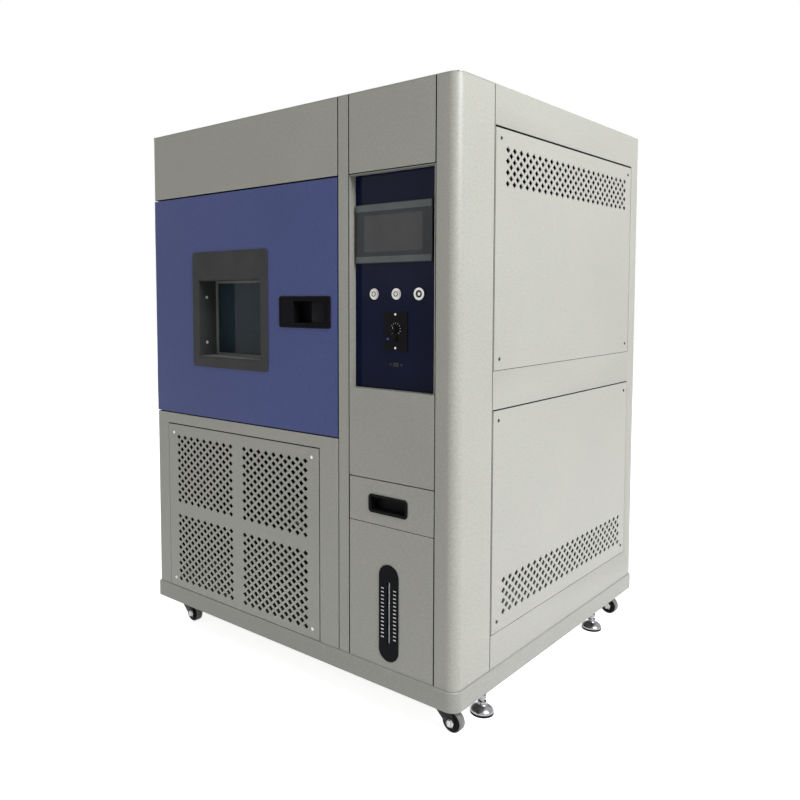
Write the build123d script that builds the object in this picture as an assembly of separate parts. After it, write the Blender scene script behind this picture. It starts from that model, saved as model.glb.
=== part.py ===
from build123d import *
import math
import os

# Environmental test chamber on a wheeled base, in millimetres.
# While it is drawn, X runs right from the left wall, Y runs back from the front face
# and Z runs up from the underside of the plinth. The finished pieces are then moved
# so that the origin is the bottom centre, on the floor that the levelling feet stand on.

# Casing sheet and gaps
sheet = 2.0
seam = 1.0
touch_gap = 0.3
running_gap = 0.05

# Plinth and floor clearance
plinth_height = 47.0
plinth_proud = 3.0
plinth_chamfer = 2.5
plinth_wall = 3.0
floor_clearance = 75.0

# Front face: left bay, upright strip, right bay, corner post
control_bay_width = 246.0
strip_width = 34.0
strip_depth = 58.0
post_front = 57.0
post_side = 150.0
post_radius = 26.0
top_panel_height = 187.0
panel_return = 18.0

# Door
machine_bay_height = 530.0
door_thickness = 60.0
door_gap = 3.0
door_skin = 1.5
plug_depth = 18.0
plug_inset = 105.0
plug_inset_low = 66.0
gasket_width = 14.0
gasket_thickness = 2.0
gasket_margin = 22.0

# Door window
window_left = 178.0
window_up = 148.0
window_width = 309.0
window_height = 326.0
window_proud = 3.0
window_lip = 3.0
sight_side = 28.0
sight_head = 81.0
sight_sill = 30.0
sight_depth = 66.0
pane_thickness = 5.0
pane_space = 8.0
window_wall = 4.0

# Paddle latch
latch_inset = 24.0
latch_up = 268.5
latch_width = 176.5
latch_height = 80.0
latch_proud = 2.0
latch_rim = 6.0
latch_flange = 3.0
latch_depth = 38.0
pocket_left = 50.5
pocket_width = 110.0
pocket_height = 55.0
pocket_depth = 34.0
paddle_width = 46.0
paddle_thickness = 4.0
paddle_clearance = 1.0
paddle_lip = 20.0
paddle_pin_radius = 2.0

# Door hinges and striker
hinge_axis_out = 9.0
hinge_axis_back = 15.0
hinge_radius = 7.0
hinge_pin_radius = 4.0
hinge_half = 38.0
hinge_inset = 90.0
hinge_leaf = 3.0
hinge_arm = 6.0
hinge_plate_reach = 48.0
striker_radius = 5.0
striker_reach = 22.0
striker_width = 16.0
striker_inset = 21.0
striker_mouth_width = 30.0
striker_mouth_height = 44.0

# Test space behind the door, and the insulation round it
space_left = 100.0
space_width = 520.0
space_right_wall = 111.0
space_floor = 63.0
space_height = 500.0
space_roof = 73.0
space_depth = 560.0
rear_bay_depth = 320.0
liner_wall = 1.5
liner_flange = 14.0
frame_plate = 2.0
duct_space = 70.0
duct_plate = 1.5

# Circulation fan, heater and specimen carousel
fan_radius = 70.0
fan_width = 26.0
fan_blades = 8
fan_hub_radius = 14.0
fan_forward = 8.0
fan_shaft_radius = 6.0
motor_radius = 55.0
motor_length = 110.0
heater_rod = 4.0
heater_radius = 105.0
heater_ribbon = 20.0
heater_forward = 12.0
carousel_radius = 190.0
carousel_ring = 24.0
carousel_plate = 3.0
carousel_drop = 46.0
carousel_hub = 22.0
carousel_shaft = 8.0
carousel_hooks = 12
hook_length = 30.0
hook_radius = 2.0
gearbox_size = 70.0
gearbox_height = 60.0

# Control recess in the right bay
recess_height = 506.0
recess_depth = 23.0
control_plate = 3.0
screen_left = 7.0
screen_top = 73.0
screen_width = 219.5
screen_height = 138.0
screen_proud = 7.0
screen_bezel = 26.0
screen_band = 17.0
screen_recess = 1.5
button_row = 223.0
button_first = 61.0
button_pitch = 64.5
button_radius = 10.0
button_ring_radius = 13.0
button_ring_height = 3.0
button_cap = 2.5
button_travel = 2.5
button_stem = 16.0
button_stem_radius = 7.0
buzzer_radius = 14.0
buzzer_height = 5.0
thermostat_left = 91.5
thermostat_bottom = 92.0
thermostat_width = 64.5
thermostat_height = 90.0
thermostat_plate = 2.5
knob_radius = 9.0
knob_height = 11.0
knob_up = 50.0
knob_shaft_radius = 3.0
reset_radius = 5.0
reset_stem_radius = 3.5
reset_up = 27.0
reset_travel = 2.0
reset_proud = 4.0
socket_up = 59.0
socket_width = 16.0
socket_height = 9.0
socket_depth = 14.0
socket_screw_pitch = 31.0
small_screw_radius = 2.6

# Drawer
drawer_bottom = 385.0
drawer_height = 109.0
drawer_front_depth = 18.0
drawer_length = 290.0
drawer_travel = 240.0
drawer_wall = 1.5
drawer_lip = 14.0
drawer_side_gap = 3.5
tray_height = 78.0
pull_left = 61.0
pull_bottom = 29.5
pull_width = 113.0
pull_height = 44.0
pull_corner = 9.0
pull_rim = 4.0
pull_proud = 2.0
pull_depth = 24.0
pull_wall = 2.0

# Water gauge
gauge_left = 92.5
gauge_bottom = 65.0
gauge_width = 56.5
gauge_height = 232.0
gauge_proud = 2.0
gauge_body_depth = 14.0
gauge_tube_radius = 4.0
gauge_tube_wall = 1.2
gauge_rim = 4.0
gauge_slot_bottom = 43.0
gauge_slot_height = 148.0
gauge_slot_depth = 9.5

# Perforated vent panels
vent_left = 52.0
vent_right = 64.0
vent_top_band = 32.0
vent_lip = 18.0
hole_size = 18.0
front_field_columns = 4
front_field_rows = 4
front_field_width = 231.0
front_field_height = 192.0
front_field_left = 48.0
front_field_gap_x = 56.0
front_field_bottom = 29.0
front_field_gap_z = 48.0
side_panel_front = 4.0
side_panel_back = 49.0
side_panel_edge = 82.0
side_rail_up = 84.0
side_rail_height = 91.5
side_panel_head = 91.0
side_field_columns = 11
side_field_rows = 2
side_field_inset = 58.0
side_field_width = 700.0
side_field_height = 74.0
side_field_edge = 49.0
vent_screw_inset = 26.0
vent_screw_radius = 4.0
vent_screw_height = 1.6
rear_louvre_count = 8
rear_louvre_width = 300.0
rear_louvre_slot = 7.0
rear_louvre_pitch = 26.0
rear_louvre_bottom = 150.0

# Machine bay
unit_left = 150.0
unit_front = 300.0
unit_width = 460.0
unit_depth = 400.0
unit_base = 4.0
compressor_radius = 62.0
compressor_height = 190.0
compressor_crown = 22.0
compressor_across = 330.0
compressor_back = 240.0
condenser_across = 10.0
condenser_back = 60.0
condenser_width = 300.0
condenser_height = 250.0
condenser_depth = 60.0
condenser_fan_radius = 100.0
condenser_fan_depth = 22.0
condenser_fan_gap = 8.0
condenser_fan_blades = 5
condenser_hub_radius = 20.0
condenser_pin_radius = 5.0
tank_width = 190.0
tank_depth = 230.0
tank_height = 240.0
tank_front = 40.0
tank_wall = 3.0
spout_radius = 16.0
spout_height = 14.0
generator_width = 120.0
generator_depth = 220.0
generator_height = 180.0
generator_left = 60.0
generator_front = 712.0
gland_radius = 14.0
gland_length = 22.0
gland_bore = 6.5
gland_thread = 10.0
gland_up = 180.0
gland_inset = 120.0

# Levelling feet
foot_inset_side = 32.0
foot_front = 172.0
foot_back = 204.0
foot_radius = 28.0
foot_pad_height = 9.0
foot_cup_height = 22.0
foot_neck_radius = 11.0
foot_stud_radius = 6.0
foot_stud_above = 30.0
foot_nut_radius = 10.0
foot_nut_height = 8.0

# Casters
caster_side = 66.0
caster_end = 56.0
caster_plate = 60.0
caster_plate_thickness = 3.0
caster_trail = 28.0
wheel_radius = 25.0
wheel_width = 22.0
wheel_lift = 2.0
wheel_chamfer = 2.5
fork_wall = 3.0
fork_gap = 1.5
crown_radius = 24.0
crown_height = 7.0
axle_radius = 4.0
axle_nut_radius = 8.5
axle_nut_height = 5.0
kingpin_radius = 5.0
fork_foot = 11.0

# Places worked out from the sizes above
left_bay_width = space_left + space_width + space_right_wall
bay_left = left_bay_width + strip_width
bay_right = bay_left + control_bay_width
cabinet_width = bay_right + post_front
body_front = door_thickness + gasket_thickness
cabinet_depth = body_front + space_depth + duct_space + rear_bay_depth
door_bottom = plinth_height + machine_bay_height
space_bottom = door_bottom + space_floor
top_line = space_bottom + space_height + space_roof
cabinet_height = top_line + top_panel_height
roof_under = cabinet_height - sheet
wall_bottom = plinth_height + seam / 2
recess_bottom = top_line - recess_height
drawer_top = drawer_bottom + drawer_height
door_right = left_bay_width - door_gap
door_low = door_bottom + door_gap
door_high = top_line - door_gap
hinge_x = -hinge_axis_out
hinge_levels = [door_low + hinge_inset, door_high - hinge_inset]
space_right = space_left + space_width
space_top = space_bottom + space_height
space_back = body_front + space_depth
fan_x = space_left + space_width / 2
fan_z = space_bottom + space_height / 2
window_bottom = door_bottom + window_up
latch_right = left_bay_width - latch_inset
latch_left = latch_right - latch_width
latch_bottom = door_bottom + latch_up
latch_mid = latch_bottom + latch_height / 2
sight_left = window_left + sight_side
sight_right = window_left + window_width - sight_side
sight_low = window_bottom + sight_sill
sight_high = window_bottom + window_height - sight_head
panel_face = recess_depth
side_panel_low = plinth_height + side_panel_edge
side_panel_low_top = door_bottom + side_rail_up
side_panel_high = side_panel_low_top + side_rail_height
side_panel_high_top = cabinet_height - side_panel_head
unit_floor = plinth_wall + unit_base
condenser_x = unit_left + condenser_across + condenser_width / 2
condenser_y = unit_front + condenser_back
condenser_z = unit_floor + condenser_height / 2
outer_left = -hinge_axis_out - hinge_radius
outer_right = cabinet_width + plinth_proud
outer_front = -plinth_proud
outer_back = cabinet_depth + gland_length
middle_x = (outer_left + outer_right) / 2
middle_y = (outer_front + outer_back) / 2


def block(x0, x1, y0, y1, z0, z1):
    """A box given by its two corners."""
    centre = ((x0 + x1) / 2, (y0 + y1) / 2, (z0 + z1) / 2)
    return Pos(*centre) * Box(x1 - x0, y1 - y0, z1 - z0)


def rod_x(x0, x1, y, z, radius):
    """A round bar along X."""
    return Pos((x0 + x1) / 2, y, z) * Rot(0, 90, 0) * Cylinder(radius, x1 - x0)


def rod_y(x, y0, y1, z, radius):
    """A round bar along Y."""
    return Pos(x, (y0 + y1) / 2, z) * Rot(90, 0, 0) * Cylinder(radius, y1 - y0)


def rod_z(x, y, z0, z1, radius):
    """A round bar along Z."""
    return Pos(x, y, (z0 + z1) / 2) * Cylinder(radius, z1 - z0)


def front_plate(outline, y0, y1):
    """Thicken an outline drawn in X and Z from depth y0 to depth y1."""
    return Pos(0, y1, 0) * Rot(90, 0, 0) * extrude(outline, y1 - y0)


def side_plate(outline, x0, x1):
    """Thicken an outline drawn in Y and Z from x0 to x1."""
    return Pos(x0, 0, 0) * Rot(0, 0, 90) * Rot(90, 0, 0) * extrude(outline, x1 - x0)


def hex_z(x, y, z0, z1, radius):
    """A hexagon nut or bolt head along Z."""
    return Pos(x, y, z0) * extrude(RegularPolygon(radius, 6), z1 - z0)


def save(name, *pieces):
    """Move the pieces into the part's own frame and write them as one named file."""
    solids = []
    for piece in pieces:
        solids.extend(piece.solids())
    shift = Pos(-middle_x, -middle_y, floor_clearance)
    moved = [shift * solid for solid in solids]
    shape = moved[0] if len(moved) == 1 else Compound(children=moved)
    export_step(shape, os.path.join("parts", name + ".step"))


def diamonds(centre_x, centre_z, width, height, columns, rows):
    """Centres of a staggered field: a main grid with a second one in its gaps."""
    step_x = width / (columns - 1)
    step_z = height / (rows - 1)
    centres = []
    for column in range(columns):
        for row in range(rows):
            centres.append((column * step_x, row * step_z))
            if column < columns - 1 and row < rows - 1:
                centres.append(((column + 0.5) * step_x, (row + 0.5) * step_z))
    left = centre_x - width / 2
    low = centre_z - height / 2
    return [Pos(left + x, low + z) * Rectangle(hole_size, hole_size, rotation=45)
            for x, z in centres]


def plinth():
    """Folded tray under the cabinet, slightly proud, with a chamfered top edge."""
    x0, x1 = -plinth_proud, cabinet_width + plinth_proud
    y0, y1 = -plinth_proud, cabinet_depth + plinth_proud
    outer = block(x0, x1, y0, y1, 0, plinth_height)
    corner = outer.edges().filter_by(Axis.Z).sort_by(Axis.X)[-2:].sort_by(Axis.Y)[0]
    outer = fillet(corner, post_radius + plinth_proud)
    outer = chamfer(outer.faces().sort_by(Axis.Z)[-1].edges(), plinth_chamfer)
    wall = plinth_wall + plinth_proud
    inner = block(wall, cabinet_width - wall, wall, cabinet_depth - wall,
                  plinth_wall, plinth_height + 1)
    inner_corner = inner.edges().filter_by(Axis.Z).sort_by(Axis.X)[-2:].sort_by(Axis.Y)[0]
    inner = fillet(inner_corner, post_radius)
    body = outer - inner
    holes = [rod_z(x, y, -1, plinth_wall + 1, foot_stud_radius + running_gap)
             for x, y in foot_places()]
    return body - holes


def foot_places():
    """Centres of the four levelling feet: front right, front left, rear right, rear left."""
    sides = [cabinet_width - foot_inset_side, foot_inset_side]
    ends = [foot_front, cabinet_depth - foot_back]
    return [(x, y) for y in ends for x in sides]


def caster_places():
    """Swivel axes of the four casters, in the same order as the feet."""
    sides = [cabinet_width - caster_side, caster_side]
    ends = [caster_end, cabinet_depth - caster_end]
    return [(x, y) for y in ends for x in sides]


def casing():
    """Left wall, roof and rear wall, one sheet each."""
    wall = Polyline((sheet, wall_bottom), (cabinet_depth, wall_bottom), (cabinet_depth, roof_under),
                    (sheet, roof_under), (sheet, top_line), (body_front, top_line),
                    (body_front, door_bottom), (sheet, door_bottom), close=True)
    left = side_plate(make_face(wall), 0, sheet)
    roof = block(0, cabinet_width, 0, cabinet_depth, roof_under, cabinet_height)
    corner = roof.edges().filter_by(Axis.Z).sort_by(Axis.X)[-2:].sort_by(Axis.Y)[0]
    roof = fillet(corner, post_radius)
    rear = block(sheet, cabinet_width - sheet, cabinet_depth - sheet, cabinet_depth,
                 wall_bottom, roof_under)
    slots = []
    for index in range(rear_louvre_count):
        low = rear_louvre_bottom + index * rear_louvre_pitch
        for middle in (cabinet_width * 0.3, cabinet_width * 0.7):
            slots.append(block(middle - rear_louvre_width / 2, middle + rear_louvre_width / 2,
                               cabinet_depth - sheet - 1, cabinet_depth + 1,
                               low, low + rear_louvre_slot))
    bore = rod_y(gland_inset, cabinet_depth - sheet - 1, cabinet_depth + 1, gland_up, gland_thread)
    return left, roof, rear - slots - bore


def folded_front(x0, x1, z0, z1):
    """A front sheet with its four edges folded back."""
    body = block(x0, x1, 0, panel_return, z0, z1)
    return body - block(x0 + sheet, x1 - sheet, sheet, panel_return + 1, z0 + sheet, z1 - sheet)


def corner_post():
    """Rounded front right corner, an L of sheet the full height of the cabinet."""
    x0 = bay_right + seam / 2
    outer = block(x0, cabinet_width, 0, post_side, wall_bottom, roof_under)
    edge = outer.edges().filter_by(Axis.Z).sort_by(Axis.X)[-2:].sort_by(Axis.Y)[0]
    outer = fillet(edge, post_radius)
    inner = block(x0 - 1, cabinet_width - sheet, sheet, post_side + 1,
                  wall_bottom - 1, roof_under + 1)
    edge = inner.edges().filter_by(Axis.Z).sort_by(Axis.X)[-2:].sort_by(Axis.Y)[0]
    inner = fillet(edge, post_radius - sheet)
    return outer - inner


def upright_strip():
    """Narrow channel between the two bays."""
    body = block(left_bay_width + seam / 2, bay_left - seam / 2, 0, strip_depth,
                 wall_bottom, roof_under)
    return body - block(left_bay_width + seam / 2 + sheet, bay_left - seam / 2 - sheet,
                        sheet, strip_depth + 1, wall_bottom - 1, roof_under + 1)


def side_panel_span():
    """Front and back edges of the side vent panels."""
    return post_side + side_panel_front, cabinet_depth - side_panel_back


def right_side():
    """Right side sheet with a stepped lip behind each vent panel."""
    front = post_side + seam
    body = block(cabinet_width - sheet, cabinet_width, front, cabinet_depth, wall_bottom, roof_under)
    y0, y1 = side_panel_span()
    for low, high in ((side_panel_low, side_panel_low_top), (side_panel_high, side_panel_high_top)):
        body += block(cabinet_width - 2 * sheet, cabinet_width - sheet, y0 - seam - sheet,
                      y1 + seam + sheet, low - seam - sheet, high + seam + sheet)
        body -= block(cabinet_width - sheet, cabinet_width + 1, y0 - seam, y1 + seam,
                      low - seam, high + seam)
        body -= block(cabinet_width - 3 * sheet, cabinet_width, y0 + vent_lip, y1 - vent_lip,
                      low + vent_lip, high - vent_lip)
    return body


def side_vent(low, high, field_at_top):
    """One flat side panel with its band of diamond holes."""
    y0, y1 = side_panel_span()
    outline = Pos((y0 + y1) / 2, (low + high) / 2) * Rectangle(y1 - y0, high - low)
    centre_y = y0 + side_field_inset + side_field_width / 2
    if field_at_top:
        centre_z = high - side_field_edge - side_field_height / 2
    else:
        centre_z = low + side_field_edge + side_field_height / 2
    outline -= diamonds(centre_y, centre_z, side_field_width, side_field_height,
                        side_field_columns, side_field_rows)
    return side_plate(outline, cabinet_width - sheet, cabinet_width)


def vent_opening():
    """Edges of the front vent panel: left, right, bottom and top."""
    return (vent_left, left_bay_width - vent_right, wall_bottom, door_bottom - vent_top_band)


def lower_frame():
    """Sheet round the front vent panel, open at the plinth, with a stepped lip."""
    left, right, low, high = vent_opening()
    body = block(sheet, left_bay_width - seam / 2, 0, sheet, wall_bottom, door_bottom)
    body += block(left - seam - sheet, right + seam + sheet, sheet, 2 * sheet,
                  wall_bottom, high + seam + sheet)
    body -= block(left - seam, right + seam, -1, sheet, low - 1, high + seam)
    body -= block(left + vent_lip, right - vent_lip, -1, 3 * sheet, low + vent_lip, high - vent_lip)
    shelf = block(sheet, left_bay_width - seam / 2, sheet, body_front, door_bottom - sheet, door_bottom)
    return body + shelf


def front_vent():
    """Flat front panel with four fields of diamond holes."""
    left, right, low, high = vent_opening()
    outline = Pos((left + right) / 2, (low + high) / 2) * Rectangle(right - left, high - low)
    for across in range(2):
        for up in range(2):
            centre_x = (left + front_field_left + front_field_width / 2
                        + across * (front_field_width + front_field_gap_x))
            centre_z = (low + front_field_bottom + front_field_height / 2
                        + up * (front_field_height + front_field_gap_z))
            outline -= diamonds(centre_x, centre_z, front_field_width, front_field_height,
                                front_field_columns, front_field_rows)
    return front_plate(outline, 0, sheet)


def screw_heads():
    """Domed heads at the corners of the three vent panels."""
    heads = []
    left, right, low, high = vent_opening()
    for x in (left + vent_screw_inset, right - vent_screw_inset):
        for z in (low + vent_screw_inset, high - vent_screw_inset):
            heads.append(rod_y(x, -vent_screw_height, 0, z, vent_screw_radius))
    y0, y1 = side_panel_span()
    for low, high in ((side_panel_low, side_panel_low_top), (side_panel_high, side_panel_high_top)):
        for y in (y0 + vent_screw_inset, y1 - vent_screw_inset):
            for z in (low + vent_screw_inset, high - vent_screw_inset):
                heads.append(rod_x(cabinet_width, cabinet_width + vent_screw_height, y, z,
                                   vent_screw_radius))
    return heads


def control_surround():
    """Sheet that lines the control recess and covers the bay down to the drawer."""
    x0, x1 = bay_left + seam / 2, bay_right - seam / 2
    low = drawer_top
    front = block(x0, x1, 0, sheet, low, recess_bottom)
    depth = recess_depth + control_plate
    tray = block(x0, x1, 0, depth, recess_bottom - sheet, top_line - seam)
    tray -= block(x0 + sheet, x1 - sheet, -1, depth + 1, recess_bottom, top_line - seam - sheet)
    foot = block(x0, x1, sheet, panel_return, low, low + sheet)
    return front + tray + foot


def control_panel():
    """Dark panel at the back of the recess, with holes for what it carries."""
    x0, x1 = bay_left + seam / 2 + sheet, bay_right - seam / 2 - sheet
    plate = block(x0, x1, panel_face, panel_face + control_plate,
                  recess_bottom, top_line - seam - sheet)
    bores = [(button_centres()[0], button_stem_radius), (button_centres()[1], button_stem_radius),
             (knob_centre(), knob_shaft_radius), (reset_centre(), reset_stem_radius)]
    for (x, z), radius in bores:
        plate -= rod_y(x, panel_face - 1, panel_face + control_plate + 1, z, radius + running_gap)
    return plate


def button_centres():
    """The two push buttons and the buzzer, left to right."""
    return [(bay_left + button_first + index * button_pitch, recess_bottom + button_row)
            for index in range(3)]


def knob_centre():
    """Axis of the thermostat knob."""
    return (bay_left + thermostat_left + thermostat_width / 2,
            recess_bottom + thermostat_bottom + knob_up)


def reset_centre():
    """Axis of the thermostat's reset button."""
    return (bay_left + thermostat_left + thermostat_width / 2,
            recess_bottom + thermostat_bottom + reset_up)


def touch_screen():
    """Touch screen housing and its glass, set in a shallow recess."""
    x0 = bay_left + screen_left
    x1 = x0 + screen_width
    z1 = top_line - screen_top
    z0 = z1 - screen_height
    housing = block(x0, x1, panel_face - screen_proud, panel_face, z0, z1)
    housing = fillet(housing.edges().filter_by(Axis.Y), 3)
    window = block(x0 + screen_bezel, x1 - screen_bezel, panel_face - screen_proud - 1,
                   panel_face - screen_proud + screen_recess, z0 + screen_bezel, z1 - screen_bezel)
    glass = block(x0 + screen_bezel, x1 - screen_bezel, panel_face - screen_proud + 0.5,
                  panel_face - screen_proud + screen_recess, z0 + screen_bezel, z1 - screen_bezel)
    return housing - window, glass


def push_button(x, z):
    """Cap and stem of one push button."""
    stem = rod_y(x, panel_face - button_travel, panel_face + control_plate + button_stem, z,
                 button_stem_radius)
    return stem + rod_y(x, panel_face - button_travel - button_cap, panel_face - button_travel, z,
                        button_radius)


def fixed_fittings():
    """Button rings, buzzer and data socket with its screws."""
    pieces = []
    centres = button_centres()
    for x, z in centres[:2]:
        ring = rod_y(x, panel_face - button_ring_height, panel_face, z, button_ring_radius)
        pieces.append(ring - rod_y(x, panel_face - button_ring_height - 1, panel_face + 1, z,
                                   button_radius + running_gap))
    x, z = centres[2]
    buzzer = rod_y(x, panel_face - buzzer_height, panel_face, z, buzzer_radius)
    groove = (rod_y(x, panel_face - buzzer_height - 1, panel_face - buzzer_height + 1.2, z,
                    buzzer_radius * 0.62)
              - rod_y(x, panel_face - buzzer_height - 2, panel_face - buzzer_height + 2, z,
                      buzzer_radius * 0.3))
    pieces.append(buzzer - groove)
    x = knob_centre()[0]
    z = recess_bottom + socket_up
    socket = block(x - socket_width / 2, x + socket_width / 2, panel_face - 2, panel_face,
                   z - socket_height / 2, z + socket_height / 2)
    socket -= block(x - socket_width / 2 + 2, x + socket_width / 2 - 2, panel_face - 3,
                    panel_face - 0.5, z - socket_height / 2 + 1.5, z + socket_height / 2 - 1.5)
    pieces.append(socket)
    for side in (-0.5, 0.5):
        pieces.append(rod_y(x + side * socket_screw_pitch, panel_face - 1.5, panel_face, z,
                            small_screw_radius))
    return pieces


def thermostat():
    """Over-temperature plate with bores for its knob and reset button."""
    x0 = bay_left + thermostat_left
    z0 = recess_bottom + thermostat_bottom
    y0 = panel_face - thermostat_plate
    plate = block(x0, x0 + thermostat_width, y0, panel_face, z0, z0 + thermostat_height)
    x, z = knob_centre()
    plate -= rod_y(x, y0 - 1, panel_face + 1, z, knob_shaft_radius + running_gap)
    x, z = reset_centre()
    plate -= rod_y(x, y0 - 1, panel_face + 1, z, reset_stem_radius + running_gap)
    screws = [rod_y(x, y0 - 1.5, y0, z0 + up, small_screw_radius)
              for up in (6.0, thermostat_height - 6.0)]
    return [plate] + screws


def thermostat_knob():
    """Knob with a pointer groove, on its shaft."""
    x, z = knob_centre()
    y0 = panel_face - thermostat_plate
    body = rod_y(x, y0 - touch_gap - knob_height, y0 - touch_gap, z, knob_radius)
    shaft = rod_y(x, y0 - touch_gap - 1, panel_face + control_plate + 6, z, knob_shaft_radius)
    groove = block(x - 0.8, x + 0.8, y0 - knob_height - 1, y0 - knob_height + 0.8, z, z + knob_radius)
    return body + shaft - groove


def reset_button():
    """Small reset button below the knob."""
    x, z = reset_centre()
    y0 = panel_face - thermostat_plate
    head = rod_y(x, y0 - touch_gap - reset_travel - reset_proud, y0 - touch_gap - reset_travel, z,
                 reset_radius)
    return head + rod_y(x, y0 - touch_gap - reset_travel, panel_face + control_plate, z,
                        reset_stem_radius)


def drawer_span():
    """Left, right, bottom and top of the drawer front."""
    return bay_left + seam, bay_right - seam, drawer_bottom + seam, drawer_top - seam


def pull_outline(grow):
    """Rounded rectangle of the drawer pull, larger or smaller by the given amount."""
    x = bay_left + pull_left + pull_width / 2
    z = drawer_bottom + pull_bottom + pull_height / 2
    return Pos(x, z) * RectangleRounded(pull_width + 2 * grow, pull_height + 2 * grow,
                                        pull_corner + grow)


def drawer_front():
    """Folded drawer front with the hole for its pull."""
    x0, x1, z0, z1 = drawer_span()
    body = block(x0, x1, 0, drawer_front_depth, z0, z1)
    body -= block(x0 + drawer_wall, x1 - drawer_wall, drawer_wall,
                  drawer_front_depth - drawer_wall, z0 + drawer_wall, z1 - drawer_wall)
    body -= block(x0 + drawer_lip, x1 - drawer_lip, drawer_wall, drawer_front_depth + 1,
                  z0 + drawer_lip, z1 - drawer_lip)
    return body - front_plate(pull_outline(-pull_rim + touch_gap), -1, drawer_wall + 1)


def drawer_pull():
    """Moulded cup with a rim that covers the hole."""
    rim = front_plate(pull_outline(0), -pull_proud, 0)
    cup = front_plate(pull_outline(-pull_rim), -pull_proud, pull_depth)
    hollow = front_plate(pull_outline(-pull_rim - pull_wall), -pull_proud - 1,
                         pull_depth - pull_wall)
    return rim + cup - hollow


def drawer_tray():
    """Open tray behind the drawer front."""
    x0, x1, z0, z1 = drawer_span()
    x0 += drawer_side_gap
    x1 -= drawer_side_gap
    low = drawer_bottom + sheet + touch_gap
    body = block(x0, x1, drawer_front_depth, drawer_front_depth + drawer_length,
                 low, low + tray_height)
    body -= block(x0 + drawer_wall, x1 - drawer_wall, drawer_front_depth + drawer_wall,
                  drawer_front_depth + drawer_length - drawer_wall, low + drawer_wall,
                  low + tray_height + 1)
    cup = block(bay_left + pull_left - 3, bay_left + pull_left + pull_width + 3,
                drawer_front_depth - 1, pull_depth + 2,
                drawer_bottom + pull_bottom - 3, drawer_bottom + pull_bottom + pull_height + 3)
    return body - cup


def drawer_housing():
    """Fixed sheet trough that the tray slides in, with flanges behind the front."""
    x0, x1 = bay_left + seam / 2, bay_right - seam / 2
    y0 = drawer_front_depth + touch_gap
    y1 = drawer_front_depth + drawer_length + drawer_lip
    body = block(x0, x1, y0, y1, drawer_bottom, drawer_top)
    return body - block(x0 + sheet, x1 - sheet, y0 - 1, y1 + 1, drawer_bottom + sheet,
                        drawer_top + 1)


def low_panel():
    """Folded panel under the drawer with the gauge hole."""
    body = folded_front(bay_left + seam / 2, bay_right - seam / 2, wall_bottom, drawer_bottom)
    hole = gauge_outline(-gauge_rim)
    return body - front_plate(hole, -1, sheet + 1)


def gauge_outline(grow):
    """Upright slot shape of the gauge plate."""
    x = bay_left + gauge_left + gauge_width / 2
    z = gauge_bottom + gauge_height / 2
    return Pos(x, z) * SlotOverall(gauge_height + 2 * grow, gauge_width + 2 * grow, rotation=90)


def gauge_plate():
    """Plate with a blind slot for the sight tube."""
    plate = front_plate(gauge_outline(0), -gauge_proud, 0)
    body = front_plate(gauge_outline(-gauge_rim - touch_gap), 0, gauge_body_depth)
    x = bay_left + gauge_left + gauge_width / 2
    z0 = gauge_bottom + gauge_slot_bottom
    half = gauge_tube_radius + touch_gap
    slot = block(x - half, x + half, -gauge_proud - 1, gauge_slot_depth, z0,
                 z0 + gauge_slot_height)
    return plate + body - slot


def gauge_tube():
    """Clear tube whose ends seat on the ends of the slot."""
    x = bay_left + gauge_left + gauge_width / 2
    z0 = gauge_bottom + gauge_slot_bottom
    y = gauge_slot_depth - touch_gap - gauge_tube_radius
    tube = rod_z(x, y, z0, z0 + gauge_slot_height, gauge_tube_radius)
    return tube - rod_z(x, y, z0 - 1, z0 + gauge_slot_height + 1,
                        gauge_tube_radius - gauge_tube_wall)


def door_frame():
    """Face of the insulated body that the door gasket closes on."""
    body = block(sheet, left_bay_width + seam / 2 + sheet, body_front, body_front + frame_plate,
                 door_bottom - sheet, top_line + sheet)
    return body - block(space_left - liner_wall, space_right + liner_wall, body_front - 1,
                        body_front + frame_plate + 1, space_bottom - liner_wall,
                        space_top + liner_wall)


def liner():
    """Stainless box of the test space, open at the front, with a flange behind the frame."""
    x0, x1 = space_left - liner_wall, space_right + liner_wall
    z0, z1 = space_bottom - liner_wall, space_top + liner_wall
    y1 = space_back + duct_space
    body = block(x0, x1, body_front, y1 + liner_wall, z0, z1)
    flange_y = body_front + frame_plate
    body += block(x0 - liner_flange, x1 + liner_flange, flange_y, flange_y + liner_wall,
                  z0 - liner_flange, z1 + liner_flange)
    body -= block(space_left, space_right, body_front - 1, y1, space_bottom, space_top)
    body -= rod_y(fan_x, y1 - 1, y1 + liner_wall + 1, fan_z, fan_shaft_radius + 2)
    body -= rod_z(fan_x, space_middle_y(), space_top - 1, space_top + liner_wall + 1,
                  carousel_shaft + 2)
    return body


def space_middle_y():
    """Depth of the carousel's axis."""
    return body_front + space_depth / 2


def duct_panel():
    """Inner back panel with the fan's intake and slots for the air to return."""
    plate = block(space_left, space_right, space_back, space_back + duct_plate,
                  space_bottom, space_top)
    plate -= rod_y(fan_x, space_back - 1, space_back + duct_plate + 1, fan_z, fan_radius * 0.8)
    for side in (-1, 1):
        for step in range(7):
            x = fan_x + side * space_width * 0.4
            z = space_bottom + space_height * (step + 1) / 8
            plate -= block(x - 30, x + 30, space_back - 1, space_back + duct_plate + 1, z - 4, z + 4)
    return plate


def fan_motor():
    """Circulation motor behind the liner, with its mounting flange."""
    y0 = space_back + duct_space + liner_wall
    flange = rod_y(fan_x, y0, y0 + 6, fan_z, motor_radius + 12)
    body = rod_y(fan_x, y0 + 6, y0 + 6 + motor_length, fan_z, motor_radius)
    bore = rod_y(fan_x, y0 - 1, y0 + motor_length / 2, fan_z, fan_shaft_radius + running_gap)
    return flange + body - bore


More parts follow.
